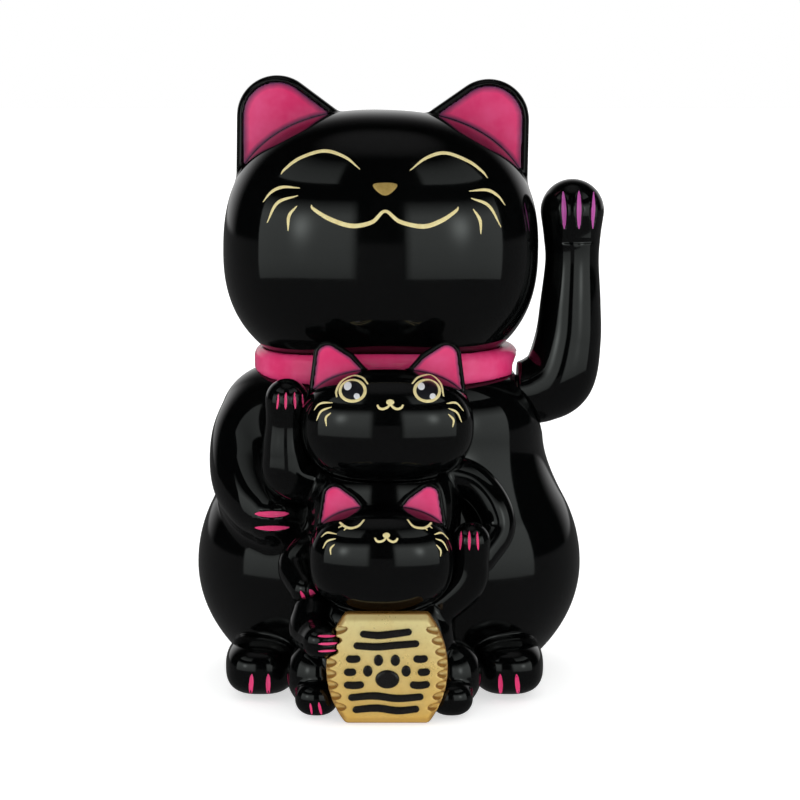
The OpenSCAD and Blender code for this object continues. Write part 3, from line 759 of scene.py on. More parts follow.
finishes = {
    "blackPlastic": glossyPlastic(), "pinkPaint": pinkPaint(), "floor": stageFloor(),
    # the ear paint's border colour is painted shade along each ear's rim and the head
    "earPaint": pinkPaint("earPaint", shadeBorder=(0.13, 0.04, 0.11)),
    "clawPaint": pinkPaint("clawPaint", (0.5, 0.07, 0.36), (0.62, 0.12, 0.48)),
    "lineGold": linePaint("lineGold", (0.92, 0.8, 0.42), (0.84, 0.68, 0.3)),
    "noseGold": linePaint("noseGold", (0.6, 0.42, 0.13), (0.48, 0.31, 0.08), 0.35),
    "eyeWhite": linePaint("eyeWhite", (0.86, 0.86, 0.88), (0.78, 0.78, 0.82)),
    "irisBlack": linePaint("irisBlack", (0.006, 0.006, 0.009), (0.012, 0.012, 0.018)),
    "goldLeaf": goldLeaf(),
    "enamel": moulded("enamel", (0.009, 0.008, 0.008), (0.013, 0.011, 0.01), (0.16, 0.22), 0.001, 500,
                      Coat_Weight=0.3),
    "basePlastic": moulded("basePlastic", (0.016, 0.016, 0.017), (0.026, 0.026, 0.028), (0.42, 0.6), 0.035,
                           480),
    "whitePlastic": moulded("whitePlastic", (0.8, 0.78, 0.7), (0.72, 0.69, 0.6), (0.35, 0.5), 0.015, 300),
    "part": moulded("part", (0.02, 0.02, 0.022), (0.035, 0.035, 0.038), (0.3, 0.45), 0.02, 700),
    "redCover": moulded("redCover", (0.55, 0.02, 0.015), (0.42, 0.012, 0.01), (0.3, 0.42), 0.01, 800),
    "blackCover": moulded("blackCover", (0.012, 0.012, 0.012), (0.02, 0.02, 0.02), (0.3, 0.42), 0.01, 800),
    "steel": metal("steel", (0.6, 0.6, 0.585), (0.45, 0.44, 0.42), (0.22, 0.38), (0.1, 1, 1)),
    "spring": metal("spring", (0.66, 0.65, 0.62), (0.4, 0.38, 0.34), (0.18, 0.3), (1, 0.1, 1)),
    "brass": metal("brass", (0.74, 0.55, 0.25), (0.5, 0.34, 0.14), (0.22, 0.36), (0.1, 1, 1)),
    "nickel": metal("nickel", (0.7, 0.69, 0.67), (0.55, 0.54, 0.51), (0.08, 0.18), (1, 1, 1), 0.001),
    "winding": windingFinish(), "board": boardFinish(),
    "cellSleeve": sleeveFinish("cellSleeve", (0.02, 0.022, 0.03), (0.55, 0.33, 0.12), 9),
    "capSleeve": sleeveFinish("capSleeve", (0.015, 0.02, 0.07), (0.4, 0.42, 0.45), 400)}
print("finishes made:", len(finishes))

# pieces of black plastic and how they meet

joint = {"gap": 0.15, "edge": 0.5}     # play at a glued joint and the rounding of the cut


def grown(field, by):
    return lambda p: field(p) - by


def cleared(form, *neighbours):
    # a form cut back from its neighbours by the gap of a glued joint
    for neighbour in neighbours:
        form = carve(joint["edge"], form, grown(neighbour, joint["gap"]))
    return form


def hollow(outside, wall, *holes):
    # a shell of even thickness, with holes through it
    def shell(p):
        d = outside(p)
        return np.maximum(d, -(d + wall))
    for hole in holes:
        shell = carve(joint["edge"], shell, hole)
    return shell

# the mother cat's body, with her lowered right arm, feet and tail

body = {
    "hips": (97, 70, 82), "hipsLow": 74, "hipsAt": (2, 2, 55),
    "chest": (78.5, 56, 47), "chestAt": (1, 3, 114), "chestPower": 3.2, "chestPlan": 2.3,
    "arm": [(-56, 0, 128, 27), (-61.5, -14, 118, 25.3), (-63.2, -27, 104, 22.6), (-60, -40, 94, 18.6),
            (-54.5, -49.5, 88.5, 14.9)],
    "foot": (17.4, 24.5, 13.4), "footAt": (60.3, -47, 13.6), "footPower": 2.7,
    "tail": [(6, 67.6, 15, 10), (34, 65.6, 15, 9.5), (60, 52, 22, 8.5), (74, 38, 36, 7)],
    "melt": {"waist": 13, "arm": 7, "foot": 3, "tail": 5},
    "pawClaws": [(-54, 90.7, 8.6, 2.1, 90), (-54, 83.8, 8.6, 2.0, 90)],
    "footClaws": [(64.2, 8.4, 6, 1.75, -6), (56, 8.4, 6, 1.75, -2)], "clawDepth": 1.0, "clawsBefore": -35,
    "wall": 2.2, "neck": 155.9, "floor": 0.4, "edges": {"pocket": 1.0, "neck": 0.8, "floor": 1.6},
    "cell": 1.2, "box": ((-97, -74, -1), (101, 80, 158))}
openings = {"base": (62.3, 43.3), "baseTop": 4, "neck": 28, "neckFrom": 140, "shaft": 3.5, "shaftX": (40, 75),
            "edge": 0.01}
pivot = {"z": 141, "pocket": 19, "face": 66.5, "play": 1}
motherClaws = body["pawClaws"] + [(side * x, z, long, wide, side * lean) for side in (-1, 1)
                                  for x, z, long, wide, lean in body["footClaws"]]


def bodyOutside():
    hips = egg(body["hipsAt"], body["hips"], 2.0, body["hipsLow"])
    chest = egg(body["chestAt"], body["chest"], body["chestPower"], None, body["chestPlan"])
    foot = egg(body["footAt"], body["foot"], body["footPower"])
    melt, edges = body["melt"], body["edges"]
    whole = blendUnion(melt["arm"], blendUnion(melt["waist"], hips, chest), limb(body["arm"]))
    whole = blendUnion(melt["foot"], whole, mirrored(foot))
    whole = blendUnion(melt["tail"], whole, limb(body["tail"]))
    whole = carve(edges["pocket"], whole, rodX(0, pivot["z"], pivot["pocket"], pivot["face"] - pivot["play"]))
    whole = overlap(edges["neck"], whole, below(body["neck"]))
    return overlap(edges["floor"], whole, above(body["floor"]))


def neckHole(p):
    return np.hypot(p[:, 0], p[:, 1]) - openings["neck"]


motherBody = engraved(bodyOutside(), motherClaws, body["clawDepth"], body["clawsBefore"])
openBottom = overlap(openings["edge"], egg((0, 0, 0), (*openings["base"], 400)), below(openings["baseTop"]))
openNeck = overlap(openings["edge"], neckHole, above(openings["neckFrom"]))
shaftHole = rodX(0, pivot["z"], openings["shaft"], *openings["shaftX"])
halves(("frontBody", "rearBody"), ("front_body_shell", "rear_body_shell"), "figure",
       hollow(motherBody, body["wall"], openBottom, openNeck, shaftHole), body["box"], body["cell"])

# her head and ears

head = {"at": (-2, 0, 214), "half": (78.5, 62, 69), "chin": 65, "power": 2.4, "lean": 1.0, "neckTop": 175,
        "seam": 0.2, "earMelt": 1.6, "cell": 1.2, "box": ((-84, -65, 154), (80, 65, 302))}
# an ear's border is the width of the painted shade band inside its rim
ear = {"circles": [(52.4, 65, 20), (66.4, 24, 6), (23.6, 61.6, 6)], "thick": 13, "rounding": 4.6, "rim": 3.2,
       "floor": 4.3, "shadeBorder": 4.2, "proud": 0.85, "cell": 0.8, "box": ((-80, -7, 240), (76, -2, 300))}
panelEdge = {"hollow": 0.9, "corner": 1.3, "inlay": 0.35, "play": 0.12, "foot": 0.3, "skullPlay": 0.4,
             "behind": 0.05, "skullShare": 1.4}


def earField(shape):
    # an ear with the shallow panel for its inlay in the front
    half = shape["thick"] / 2
    solid = slab(shape["circles"], -half, half, shape["rounding"])
    panel = slab(shape["circles"], -40, -shape["floor"], panelEdge["hollow"], shape["rim"])
    return mirrored(carve(panelEdge["corner"], solid, panel))


skull = egg((0, 0, 0), head["half"], head["power"], head["chin"])
motherSkull = moved(skull, head["at"], head["lean"])
motherHead = moved(blendUnion(head["earMelt"], skull, earField(ear)), head["at"], head["lean"])
motherHead = overlap(body["edges"]["neck"], motherHead, above(body["neck"] + head["seam"]))


def headShell(p):
    return np.maximum(motherHead(p), -(motherSkull(p) + body["wall"]))


headOpening = overlap(openings["edge"], neckHole, below(head["neckTop"]))
halves(("frontHead", "rearHead"), ("front_head_shell", "rear_head_shell"), "figure",
       carve(joint["edge"], headShell, headOpening), head["box"], head["cell"])


def earInlays(name, shape, place, lean, skullForm, node):
    # pink panels in the front of both ears, cut to the head they stand on
    edge = panelEdge
    front, back = -shape["floor"] - shape["proud"], -shape["floor"] - edge["behind"]
    panel = slab(shape["circles"], front, back, edge["inlay"], shape["rim"] + edge["play"])
    form = carve(edge["foot"], moved(mirrored(panel), place, lean), grown(skullForm, -edge["skullPlay"]))
    inlay = solidPiece(name, form, shape["box"], shape["cell"], "earPaint", "pink_paint", node, 2)
    # edge values for the painted shade band: 0 at the rim and where the panel meets the head, 1 a border's
    # width inside
    points = np.array([v.co[:] for v in inlay.data.vertices]) / mm
    x, _, z = turned(points, place, lean).T
    fromRim = -(bandDistance(shape["circles"], np.abs(x), z) + shape["rim"])
    fromShadedBorder = np.minimum(fromRim, skullForm(points) * edge["skullShare"]) / shape["shadeBorder"]
    pointValues(inlay, "edge", np.clip(fromShadedBorder, 0, 1))


earInlays("motherEarInlays", ear, head["at"], head["lean"], motherSkull, "mother_ear_inlays")

# her collar

collar = {"at": (0.5, 2, 158.2), "outer": 66, "inner": 50, "depth": 0.83, "half": 8.0, "rounding": 5.4,
          "waves": [(0.5, 3, 0.6), (0.3, 7, 0)], "sway": 0.35, "play": 0.2, "edge": 0.4,
          "pocket": (2, 3, 0.8), "space": (0.7, 0.4),
          "cell": 1.2, "box": ((-67, -54, 149), (68, 59, 168))}


def collarField():
    c = collar
    middle, half = (c["outer"] + c["inner"]) / 2, (c["outer"] - c["inner"]) / 2

    def band(p):
        x, y = p[:, 0] - c["at"][0], (p[:, 1] - c["at"][1]) / c["depth"]
        turn = np.arctan2(y, x)
        sway = sum(high * np.sin(count * turn + start) for high, count, start in c["waves"])
        u = np.abs(np.hypot(x, y) - middle) - half + c["rounding"]
        v = np.abs(p[:, 2] - c["at"][2] - c["sway"] * sway) - c["half"] + c["rounding"]
        corner = np.hypot(np.maximum(u, 0), np.maximum(v, 0))
        return (np.minimum(np.maximum(u, v), 0) + corner - c["rounding"]) * 0.9
    tight = carve(c["edge"], band, grown(motherHead, c["play"]))
    tight = carve(c["edge"], tight, grown(motherBody, c["play"]))
    wider, deeper, edge = c["pocket"]
    return carve(edge, tight, rodX(0, pivot["z"], pivot["pocket"] + wider, pivot["face"] - deeper))


solidPiece("collar", collarField(), collar["box"], collar["cell"], "pinkPaint", "pink_paint", "collar")

# her painted face and claws: places (x, z); a brush is the widths along a line, its height and its step

motherFace = {
    "eyes": [[(-49.5, 252.6), (-47.5, 255.2), (-40.3, 260.4), (-28.8, 263.8), (-18.7, 261), (-11.5, 255.4)],
             [(12.3, 254.8), (20, 260.5), (29.3, 262.8), (40.2, 258.9), (47, 254), (49.6, 250.8)]],
    "mouth": [[(-34.6, 238.6), (-33.4, 236.6), (-25.6, 232), (-15.2, 228.9), (-5.7, 230.7), (0.5, 235.8),
               (7.5, 230.9), (18.5, 228.6), (27, 231.1), (34, 235.6), (35.3, 237.6)]],
    "whiskers": [[(-58.2, 239.4), (-54, 244.3), (-48.4, 246.7), (-40.1, 246.4)],
                 [(-56.1, 229.6), (-51, 239.2), (-41, 242.9)], [(-45.8, 226.1), (-45.3, 233.2), (-41.5, 238)],
                 [(40.5, 244.9), (49.2, 245.2), (54.6, 242.3), (58.1, 237.8)],
                 [(41.4, 241.6), (50.1, 237.7), (56, 227.5)], [(42.4, 236.5), (45.7, 231.2), (46.2, 224.5)]],
    "brush": {"eyes": ([0.4, 1.4, 1.95, 2.05, 1.95, 1.4, 0.4], 0.12, 0.6),
              "mouth": ([0.4, 1.5, 2.15, 2.2, 1.9, 1.4, 1.9, 2.2, 2.15, 1.5, 0.4], 0.12, 0.6),
              "whiskers": ([0.4, 1.2, 1.65, 1.6, 1.1, 0.4], 0.12, 0.6)},
    "nose": (0.5, 246.6), "noseHalf": (5.6, 3.0), "noseProud": 0.25}


def strokesOf(form, face):
    # every line of a face
    return [brushLine(form, line, *brush) for part, brush in face["brush"].items() for line in face[part]]


def noseOutline(t):
    # a soft triangle, flat on top
    a, b = motherFace["noseHalf"]
    return a * math.cos(t) * (1 + 0.3 * math.sin(t)), b * (math.sin(t) + 0.16 * math.cos(2 * t))


painted("motherFaceLines", strokesOf(motherHead, motherFace), "lineGold", "gold_plaque")
nose = brushPatch(motherHead, motherFace["nose"], noseOutline, motherFace["noseProud"])
painted("motherNose", [nose], "noseGold", "gold_plaque")
painted("motherClaws", claws(motherBody, motherClaws), "pinkPaint", "pink_paint")
print("mother cat done")

# the swinging arm

arm = {
    "line": [(70, 0, 141.5, 15.8), (79, 0, 144, 17.2), (87.5, 0, 150.5, 18.2), (91.8, 0, 168, 16.6),
             (93, 0, 187, 15.1), (93.6, 0, 208, 13.4), (93.5, 0, 222, 14.3), (93.5, 0, 233, 15.8)],
    "claws": [(88.4, 233.8, 9.6, 1.9, -2), (95.8, 234, 9.8, 1.9, 0), (103.1, 233.6, 9.4, 1.8, 2)],
    "clawDepth": 1.2, "flat": 0.6, "cuff": [(95.6, 218.2, 10.5, 1.6, 90)], "cuffDepth": 0.55,
    "wall": 1.8, "bore": 6.6, "boreX": (60, 80), "cell": 0.95, "box": ((65, -20, 120), (111, 20, 251))}
armForm = overlap(arm["flat"], limb(arm["line"]), plane((pivot["face"], 0, 0), (-1, 0, 0)))
armForm = engraved(engraved(armForm, arm["claws"], arm["clawDepth"]), arm["cuff"], arm["cuffDepth"])
armShell = hollow(armForm, arm["wall"], rodX(0, pivot["z"], arm["bore"], *arm["boreX"]))
halves(("armFront", "armRear"), ("arm_front_half", "arm_rear_half"), "swinging_arm", armShell, arm["box"],
       arm["cell"])
painted("armClaws", claws(armForm, arm["claws"]), "clawPaint", "pink_paint", rides="swinging_arm")
print("swinging arm done")

# the bigger kitten, moulded head and body

midKitten = {
    "head": {"at": (1.5, -64, 134), "half": (41.5, 30, 27.5), "power": 2.4, "earMelt": 1.2,
             "box": ((-42, -96, 104), (45, -35, 176))},
    "trunk": ((0, -58, 90), (37, 25, 34), 2.4), "melt": 2.2, "cell": 1.0,
    "bodyBox": ((-62, -92, 43), (65, -35, 158)),
    "limbs": {
        "raised": [(-46.4, -63, 146, 10.4), (-47, -62, 134, 9.8), (-47, -61, 120, 11.5), (-45, -59, 110, 13),
                   (-32, -53, 106, 13)],
        "round": [(28, -57, 110, 10), (42, -58, 106, 9.2), (52, -61, 95, 8.6), (54.5, -64, 83, 8.2),
                  (46, -72, 71, 7.6)],
        "leg": [(-24, -57, 76, 12), (-38, -63, 71, 10), (-42, -68, 65, 9), (-37, -80, 57.5, 7.8)],
        "otherLeg": [(24, -58, 74, 11), (36, -64, 62, 8.8), (34, -72, 52, 7)]},
    "claws": [(-50.3, 146.4, 3.7, 1.0, 6), (-46.5, 146.8, 4.1, 1.1, 2), (-42.2, 146.8, 4.1, 1.1, -2),
              (-38.6, 146.4, 3.4, 0.9, -5), (-38, 55.2, 3.6, 1.3, -24), (-33.2, 55.6, 4.1, 1.8, -30)],
    "clawDepth": 0.8, "clawsBefore": -50}
midEar = {"circles": [(28.2, 33.6, 7), (34.5, 12, 3.5), (12, 24.5, 3.5), (19.8, 29.6, 5.8)], "thick": 8,
          "rounding": 2.7, "rim": 1.7, "floor": 2.6, "shadeBorder": 2.2, "proud": 0.7, "cell": 0.6,
          "box": ((-36, -69, 146), (40, -65, 175))}


def kittenSkull(k):
    return moved(egg((0, 0, 0), k["half"], k["power"]), k["at"])


def kittenHead(k, ears):
    return blendUnion(k["earMelt"], kittenSkull(k), moved(earField(ears), k["at"]))


def kittenPieces(name, k, ears, skullForm, headForm, bodyForm, neighbours, bodyNeighbours):
    # its head, ear inlays, body and claws, each cut back from what it is glued to
    title = {"midKitten": "mid_kitten", "smallKitten": "small_kitten"}[name]
    black = (k["cell"], "blackPlastic", "black_plastic")
    solidPiece(name + "Head", cleared(headForm, *neighbours), k["head"]["box"], *black, title + "_head")
    earInlays(name + "EarInlays", ears, k["head"]["at"], 0, skullForm, title + "_ear_inlays")
    solidPiece(name + "Body", cleared(bodyForm, *bodyNeighbours), k["bodyBox"], *black, title + "_body")
    painted(name + "Claws", claws(bodyForm, k["claws"]), "pinkPaint", "pink_paint")


def mother(p):
    return np.minimum(motherBody(p), motherHead(p))


def collarSpace(p):
    # a plain ring round the collar
    x, y, z = p.T - np.array(collar["at"])[:, None]
    around, high = collar["space"]
    ring = np.hypot(x, y / collar["depth"]) - collar["outer"] - around
    return np.maximum(ring, np.abs(z) - collar["half"] - high) * 0.85


midSkull, midHeadForm = kittenSkull(midKitten["head"]), kittenHead(midKitten["head"], midEar)
midForms = [egg(*midKitten["trunk"]), *[limb(line) for line in midKitten["limbs"].values()]]
midBodyForm = engraved(blendUnion(midKitten["melt"], *midForms), midKitten["claws"], midKitten["clawDepth"],
                       midKitten["clawsBefore"])
kittenPieces("midKitten", midKitten, midEar, midSkull, midHeadForm, midBodyForm, (mother, collarSpace),
             (mother, midHeadForm, collarSpace))

midFace = {
    "lids": [[(-22, 150.3), (-22.2, 153.1), (-19.7, 157), (-14.4, 159.2), (-10, 158.6), (-7.4, 156.2)],
             [(13.2, 156.3), (16.2, 158.7), (22, 159), (26.6, 155.8), (28, 150.4)]],
    "mouth": [[(-3, 147.5), (-2.2, 146.1), (-0.5, 145.6), (1.6, 146.3), (2.9, 147.6)],
              [(3.1, 147.6), (4.5, 146.3), (6.3, 145.6), (8.2, 146.2), (9, 147.5)]],
    "whiskers": [[(-32.8, 143.6), (-31, 146.1), (-28.4, 147.4), (-23.9, 147.8)],
                 [(-31.6, 139.1), (-29.3, 143.6), (-24.4, 145.9)],
                 [(-26.8, 137), (-27.1, 140.8), (-24.7, 143.3)],
                 [(29.3, 147.3), (34, 147), (37.5, 143)], [(30.2, 145.1), (34.3, 142.8), (36.5, 138.1)],
                 [(30.1, 142.5), (32.6, 139.7), (32.2, 136.3)]],
    "brush": {"lids": ([0.7, 1.3, 1.45, 1.3, 0.7], 0.14, 0.5),
              "mouth": ([0.9, 1.15, 1.2, 1.15, 0.9], 0.12, 0.4),
              "whiskers": ([0.35, 0.85, 1.15, 1.1, 0.85, 0.35], 0.12, 0.4)},
    "nose": (3.0, 148.6), "noseHalf": (1.9, 1.25), "noseProud": 0.16,
    "eyes": [((-14.6, 153.3), -5), ((20.3, 153.2), 7)], "ring": (5.9, 4.4),
    "ringBrush": ([1.5, 1.5], 0.16, 0.5),
    "iris": (5.5, 4.05), "irisProud": 0.07, "shineProud": 0.15,
    "shine": [((-16.9, 155.1), (2.0, 1.7), -35), ((-12.6, 151.1), (1.5, 1.35), 0),
              ((17.5, 155.1), (1.8, 1.6), 25), ((22.8, 150.8), (1.5, 1.35), 0)]}


def spot(form, at, half, lean, proud):
    # a small filled oval
    return brushPatch(form, at, oval(*half, lean), proud, 24, 4)


def eyeRing(at, lean):
    # points round an oval, closed
    edge = oval(*midFace["ring"], lean)
    return [tuple(np.add(at, edge(t))) for t in np.linspace(0, 2 * math.pi, 25)]


lines = strokesOf(midHeadForm, midFace)
lines += [spot(midHeadForm, midFace["nose"], midFace["noseHalf"], 0, midFace["noseProud"])]
irises = []
for at, lean in midFace["eyes"]:
    lines.append(brushLine(midHeadForm, eyeRing(at, lean), *midFace["ringBrush"]))
    irises.append(brushPatch(midHeadForm, at, oval(*midFace["iris"], lean), midFace["irisProud"]))
shines = [spot(midHeadForm, at, half, lean, midFace["shineProud"]) for at, half, lean in midFace["shine"]]
painted("midKittenFaceLines", lines, "lineGold", "gold_plaque")
painted("midKittenIrises", irises, "irisBlack", "black_enamel")
painted("midKittenEyeShine", shines, "eyeWhite", "white_plastic")
print("bigger kitten done")

# the smaller kitten and the outline of the plaque it holds

smallKitten = {
    "head": {"at": (-1, -88.4, 74.2), "half": (34.5, 26, 25.5), "power": 2.4, "earMelt": 1.2,
             "box": ((-37, -116, 46), (36, -60, 113))},
    "trunk": ((0, -80, 30), (34, 22, 32), 2.4), "melt": 2.0, "cell": 0.9,
    "bodyBox": ((-48, -115, -1), (52, -56, 93)),
    "legs": [((31.5, -82, 17), (15, 15, 17)), ((31.8, -94, 8.6), (10.2, 10, 8.4), 2.3)],
    "limbs": {"raised": [(41, -86, 82, 9.2), (41, -85.5, 73, 8.6), (38.5, -84, 62, 9.8), (26, -82, 50, 10)],
              "holding": [(-33, -84, 46, 11), (-34.4, -90, 41, 10.6), (-32, -98, 39, 9.4)]},
    "paw": ((-28.9, -105, 38.4), (9.2, 9.2, 8.2), 2.2), "pawMelt": 3.0, "floor": 0.4, "floorEdge": 0.8,
    "claws": [(36, 83.4, 4.4, 1.1, 4), (40, 83.6, 4.6, 1.1, 0), (43.9, 83.4, 4.4, 1.05, -3),
              (-26.4, 42.3, 4.3, 1.0, 93), (-25.8, 38.9, 4.6, 1.05, 92), (-26.2, 35.4, 4.3, 1.0, 92),
              (-34.1, 5.2, 3.2, 1.0, -6), (-29.9, 5.4, 3.6, 1.1, -10)], "clawDepth": 0.7, "clawsBefore": -75}
smallEar = {"circles": [(22.1, 30.2, 6.2), (28.2, 12, 3), (9, 22.3, 3), (15.2, 26.6, 5)], "thick": 7,
            "rounding": 2.4, "rim": 1.5, "floor": 2.3, "shadeBorder": 1.9, "proud": 0.65, "cell": 0.55,
            "box": ((-33, -93, 86), (31, -89, 112))}
plaque = {"x": 1.5, "front": -112, "thick": 8, "high": 52.5, "low": 0.4, "wide": 56.6, "bulge": 42,
          "cell": 0.5, "box": ((-29, -113, 0), (32, -103, 53))}


def plaqueOutline(p):
    # distance to the bulging sides and to the flat ends
    reach = plaque["bulge"] - plaque["wide"] / 2
    x, z = np.abs(p[:, 0] - plaque["x"]), p[:, 2] - plaque["high"] / 2
    ends = np.maximum(p[:, 2] - plaque["high"], plaque["low"] - p[:, 2])
    return np.hypot(x + reach, z) - plaque["bulge"], ends


def plaqueBlock(p):
    half = plaque["thick"] / 2
    return np.maximum(np.maximum(*plaqueOutline(p)), np.abs(p[:, 1] - plaque["front"] - half) - half)


smallSkull, smallHeadForm = kittenSkull(smallKitten["head"]), kittenHead(smallKitten["head"], smallEar)
holdingPaw = egg(*smallKitten["paw"])
smallForms = [egg(*smallKitten["trunk"]), *[mirrored(egg(*leg)) for leg in smallKitten["legs"]],
              *[limb(line) for line in smallKitten["limbs"].values()]]
smallBodyForm = blendUnion(smallKitten["pawMelt"], blendUnion(smallKitten["melt"], *smallForms), holdingPaw)
smallBodyForm = overlap(smallKitten["floorEdge"], smallBodyForm, above(smallKitten["floor"]))
smallBodyForm = engraved(smallBodyForm, smallKitten["claws"], smallKitten["clawDepth"],
                         smallKitten["clawsBefore"])


def behindSmall(p):
    return np.minimum(motherBody(p), midBodyForm(p))


def aroundSmall(p):
    # its own head, and the plaque where the holding paw doesn't reach over it
    return np.minimum(smallHeadForm(p), np.maximum(plaqueBlock(p), -holdingPaw(p)))


kittenPieces("smallKitten", smallKitten, smallEar, smallSkull, smallHeadForm, smallBodyForm, (behindSmall,),
             (behindSmall, aroundSmall))

smallFace = {
    "eyes": [[(-9, 95.6), (-11.7, 93.1), (-15.1, 92.1), (-18, 92.6), (-20.4, 93.9)],
             [(11, 95.5), (13.7, 92.8), (17.4, 91.8), (20, 92), (22.2, 93.2)]],
    "lashes": [[(-18.8, 93), (-21, 91.8)], [(-16.9, 92.4), (-18.4, 91)], [(20.8, 92.5), (22.6, 91.1)],
               [(18.8, 92), (20.3, 90.6)]],
    "mouth": [[(-4, 88.4), (-3.2, 87.1), (-1.7, 86.7), (0.1, 87.3), (1.2, 88.5)],
              [(1.4, 88.5), (2.6, 87.3), (4.3, 86.6), (5.8, 87.1), (6.5, 88.2)]],
    "whiskers": [[(-29.1, 86.9), (-26.2, 89.2), (-21.7, 89.2)], [(-28.2, 82.3), (-26.1, 85.7), (-22.1, 87.3)],
                 [(-24.4, 80), (-24.5, 82.7), (-22.6, 84.8)], [(23.4, 88.6), (27, 88.5), (30.3, 85)],
                 [(24, 86.8), (27.5, 84.8), (29.8, 80.5)], [(24.3, 84.2), (26.4, 81.4), (26.3, 78.6)]],
    "brush": {"eyes": ([0.8, 1.25, 1.35, 1.25, 1.0], 0.12, 0.4), "lashes": ([1.1, 0.6], 0.12, 0.3),
              "mouth": ([0.8, 1.1, 1.15, 1.1, 0.8], 0.12, 0.4),
              "whiskers": ([0.35, 0.75, 1.05, 1.0, 0.75, 0.35], 0.12, 0.4)},
    "nose": (1.3, 89.4), "noseHalf": (1.7, 1.15), "noseProud": 0.16}
lines = strokesOf(smallHeadForm, smallFace)
lines += [spot(smallHeadForm, smallFace["nose"], smallFace["noseHalf"], 0, smallFace["noseProud"])]
painted("smallKittenFaceLines", lines, "lineGold", "gold_plaque")
print("smaller kitten done")

# the gold plaque with its bevels and flutes, and the raised enamel bars and paw on it

plaqueEdge = {"bevel": 2.2, "endBevel": 3.4, "endSlope": (0.5, 0.866), "corner": 1.2, "soft": 0.5,
              "bevelSoft": 0.6, "flutePitch": 5.2, "fluteStart": 3.4, "fluteZ": (6, 46.5),
              "fluteIn": 1.2, "fluteDeep": 0.9,
              "flute": (3.6, 2.3, 1.85), "pawPlay": 0.2, "pawEdge": 0.4}
pattern = {
    "bars": [[(-12.5, 43.4), (-4, 42.6), (4, 43.4), (11.5, 44.4)],
             [(-15.5, 37.8), (-5, 37.2), (5, 38), (15, 38.8)],
             [(-19, 31.6), (-15.6, 31.3), (-12.2, 31.7)], [(12.2, 31.7), (15.6, 31.3), (19, 32)],
             [(-20, 25.4), (-17, 25.1), (-14.2, 25.5)], [(14.2, 25.5), (17, 25.1), (20, 25.8)],
             [(-20, 19.2), (-15, 18.9), (-10.6, 19.4)], [(10.6, 19.4), (15, 18.9), (20, 19.6)],
             [(-18, 13), (-6, 13.9), (5, 12.7), (17, 13.6)], [(-16, 7.2), (-5, 8.1), (5, 6.9), (15, 7.8)]],
    "barWidths": [3.3, 3.6, 3.6, 3.3], "proud": 1.05, "pad": (0.2, 21.8), "padHalf": (5.6, 4.4),
    "toes": (22, 66, 114, 158), "toesRound": (0, 22.2), "toesAway": (9.6, 9.4), "toeHalf": (2.2, 2.7)}


def rounder(first, second, width):
    # the overlap of two distances, its edge rounded
    h = np.clip(0.5 + 0.5 * (second - first) / width, 0, 1)
    return first + (second - first) * h + width * h * (1 - h)


def plaqueForm(p):
    e = plaqueEdge
    sides, ends = plaqueOutline(p)
    depth = plaque["front"] - p[:, 1]
    outline = rounder(rounder(sides, ends, e["corner"]), -depth - plaque["thick"], e["soft"])
    face = rounder(outline, depth, e["soft"])
    face = rounder(face, (sides + depth + e["bevel"]) * 0.707, e["bevelSoft"])
    across, along = e["endSlope"]
    face = rounder(face, ends * across + depth * along + e["endBevel"] * across, e["bevelSoft"])
    step = (p[:, 2] - e["fluteStart"] + e["flutePitch"] / 2) % e["flutePitch"] - e["flutePitch"] / 2
    a, b, r = e["flute"]
    away = ((sides + e["fluteIn"]) / a) ** 2 + ((depth + e["fluteDeep"]) / b) ** 2 + (step / r) ** 2
    low, high = e["fluteZ"]
    flute = np.where((p[:, 2] > low) & (p[:, 2] < high), (np.sqrt(away) - 1) * r, 9)
    return rounder(face, -flute, e["soft"])


plaqueSolid = carve(plaqueEdge["pawEdge"], plaqueForm, grown(smallBodyForm, plaqueEdge["pawPlay"]))
solidPiece("goldPlaque", plaqueSolid, plaque["box"], plaque["cell"], "goldLeaf", "gold_plaque",
           "gold_plaque", 3)
raised = []
for bar in pattern["bars"]:
    places = [(x + plaque["x"], z) for x, z in bar]
    raised.append(brushLine(plaqueSolid, places, pattern["barWidths"], pattern["proud"], 0.5, 11, True))
pads = [(pattern["pad"], pattern["padHalf"])]
for turn in np.radians(pattern["toes"]):
    reach = np.multiply((math.cos(turn), math.sin(turn)), pattern["toesAway"])
    pads.append((tuple(reach + pattern["toesRound"]), pattern["toeHalf"]))
raised += [brushPatch(plaqueSolid, (x + plaque["x"], z), oval(*half), pattern["proud"], 32, 8)
           for (x, z), half in pads]
painted("plaquePattern", raised, "enamel", "black_enamel", "plaque_marks")
print("plaque done")

# finishes of the pieces that keep their engineered shape

nodeFinishes = {
    "basePlastic": ["base_plate", "battery_door", "switch_knob", "switch_housing"],
    "whitePlastic": ["mechanism_frame", "coil_bobbin", "pendulum_lever", "arm_hub"],
    "steel": ["base_screws", "frame_screws", "board_screws", "pivot_shaft", "shaft_washers",
              "pendulum_weight"],
    "spring": ["battery_spring", "battery_contact"],
    "brass": ["shaft_bushes"],
    "nickel": ["pendulum_magnet"],
    "winding": ["coil_winding"],
    "board": ["driver_board"],
    "part": ["transistor"],
    "capSleeve": ["capacitor"],
    "cellSleeve": ["battery_cell"],
    "redCover": ["red_wire"],
    "blackCover": ["black_wire", "board_wire"]}
for finish, names in nodeFinishes.items():
    for node in [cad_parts[name] for name in names]:
        if not node.material_slots:
            node.data.materials.append(finishes[finish])
        for place in node.material_slots:
            place.material = finishes[finish]
print("engineered pieces finished")

# camera, floor and light

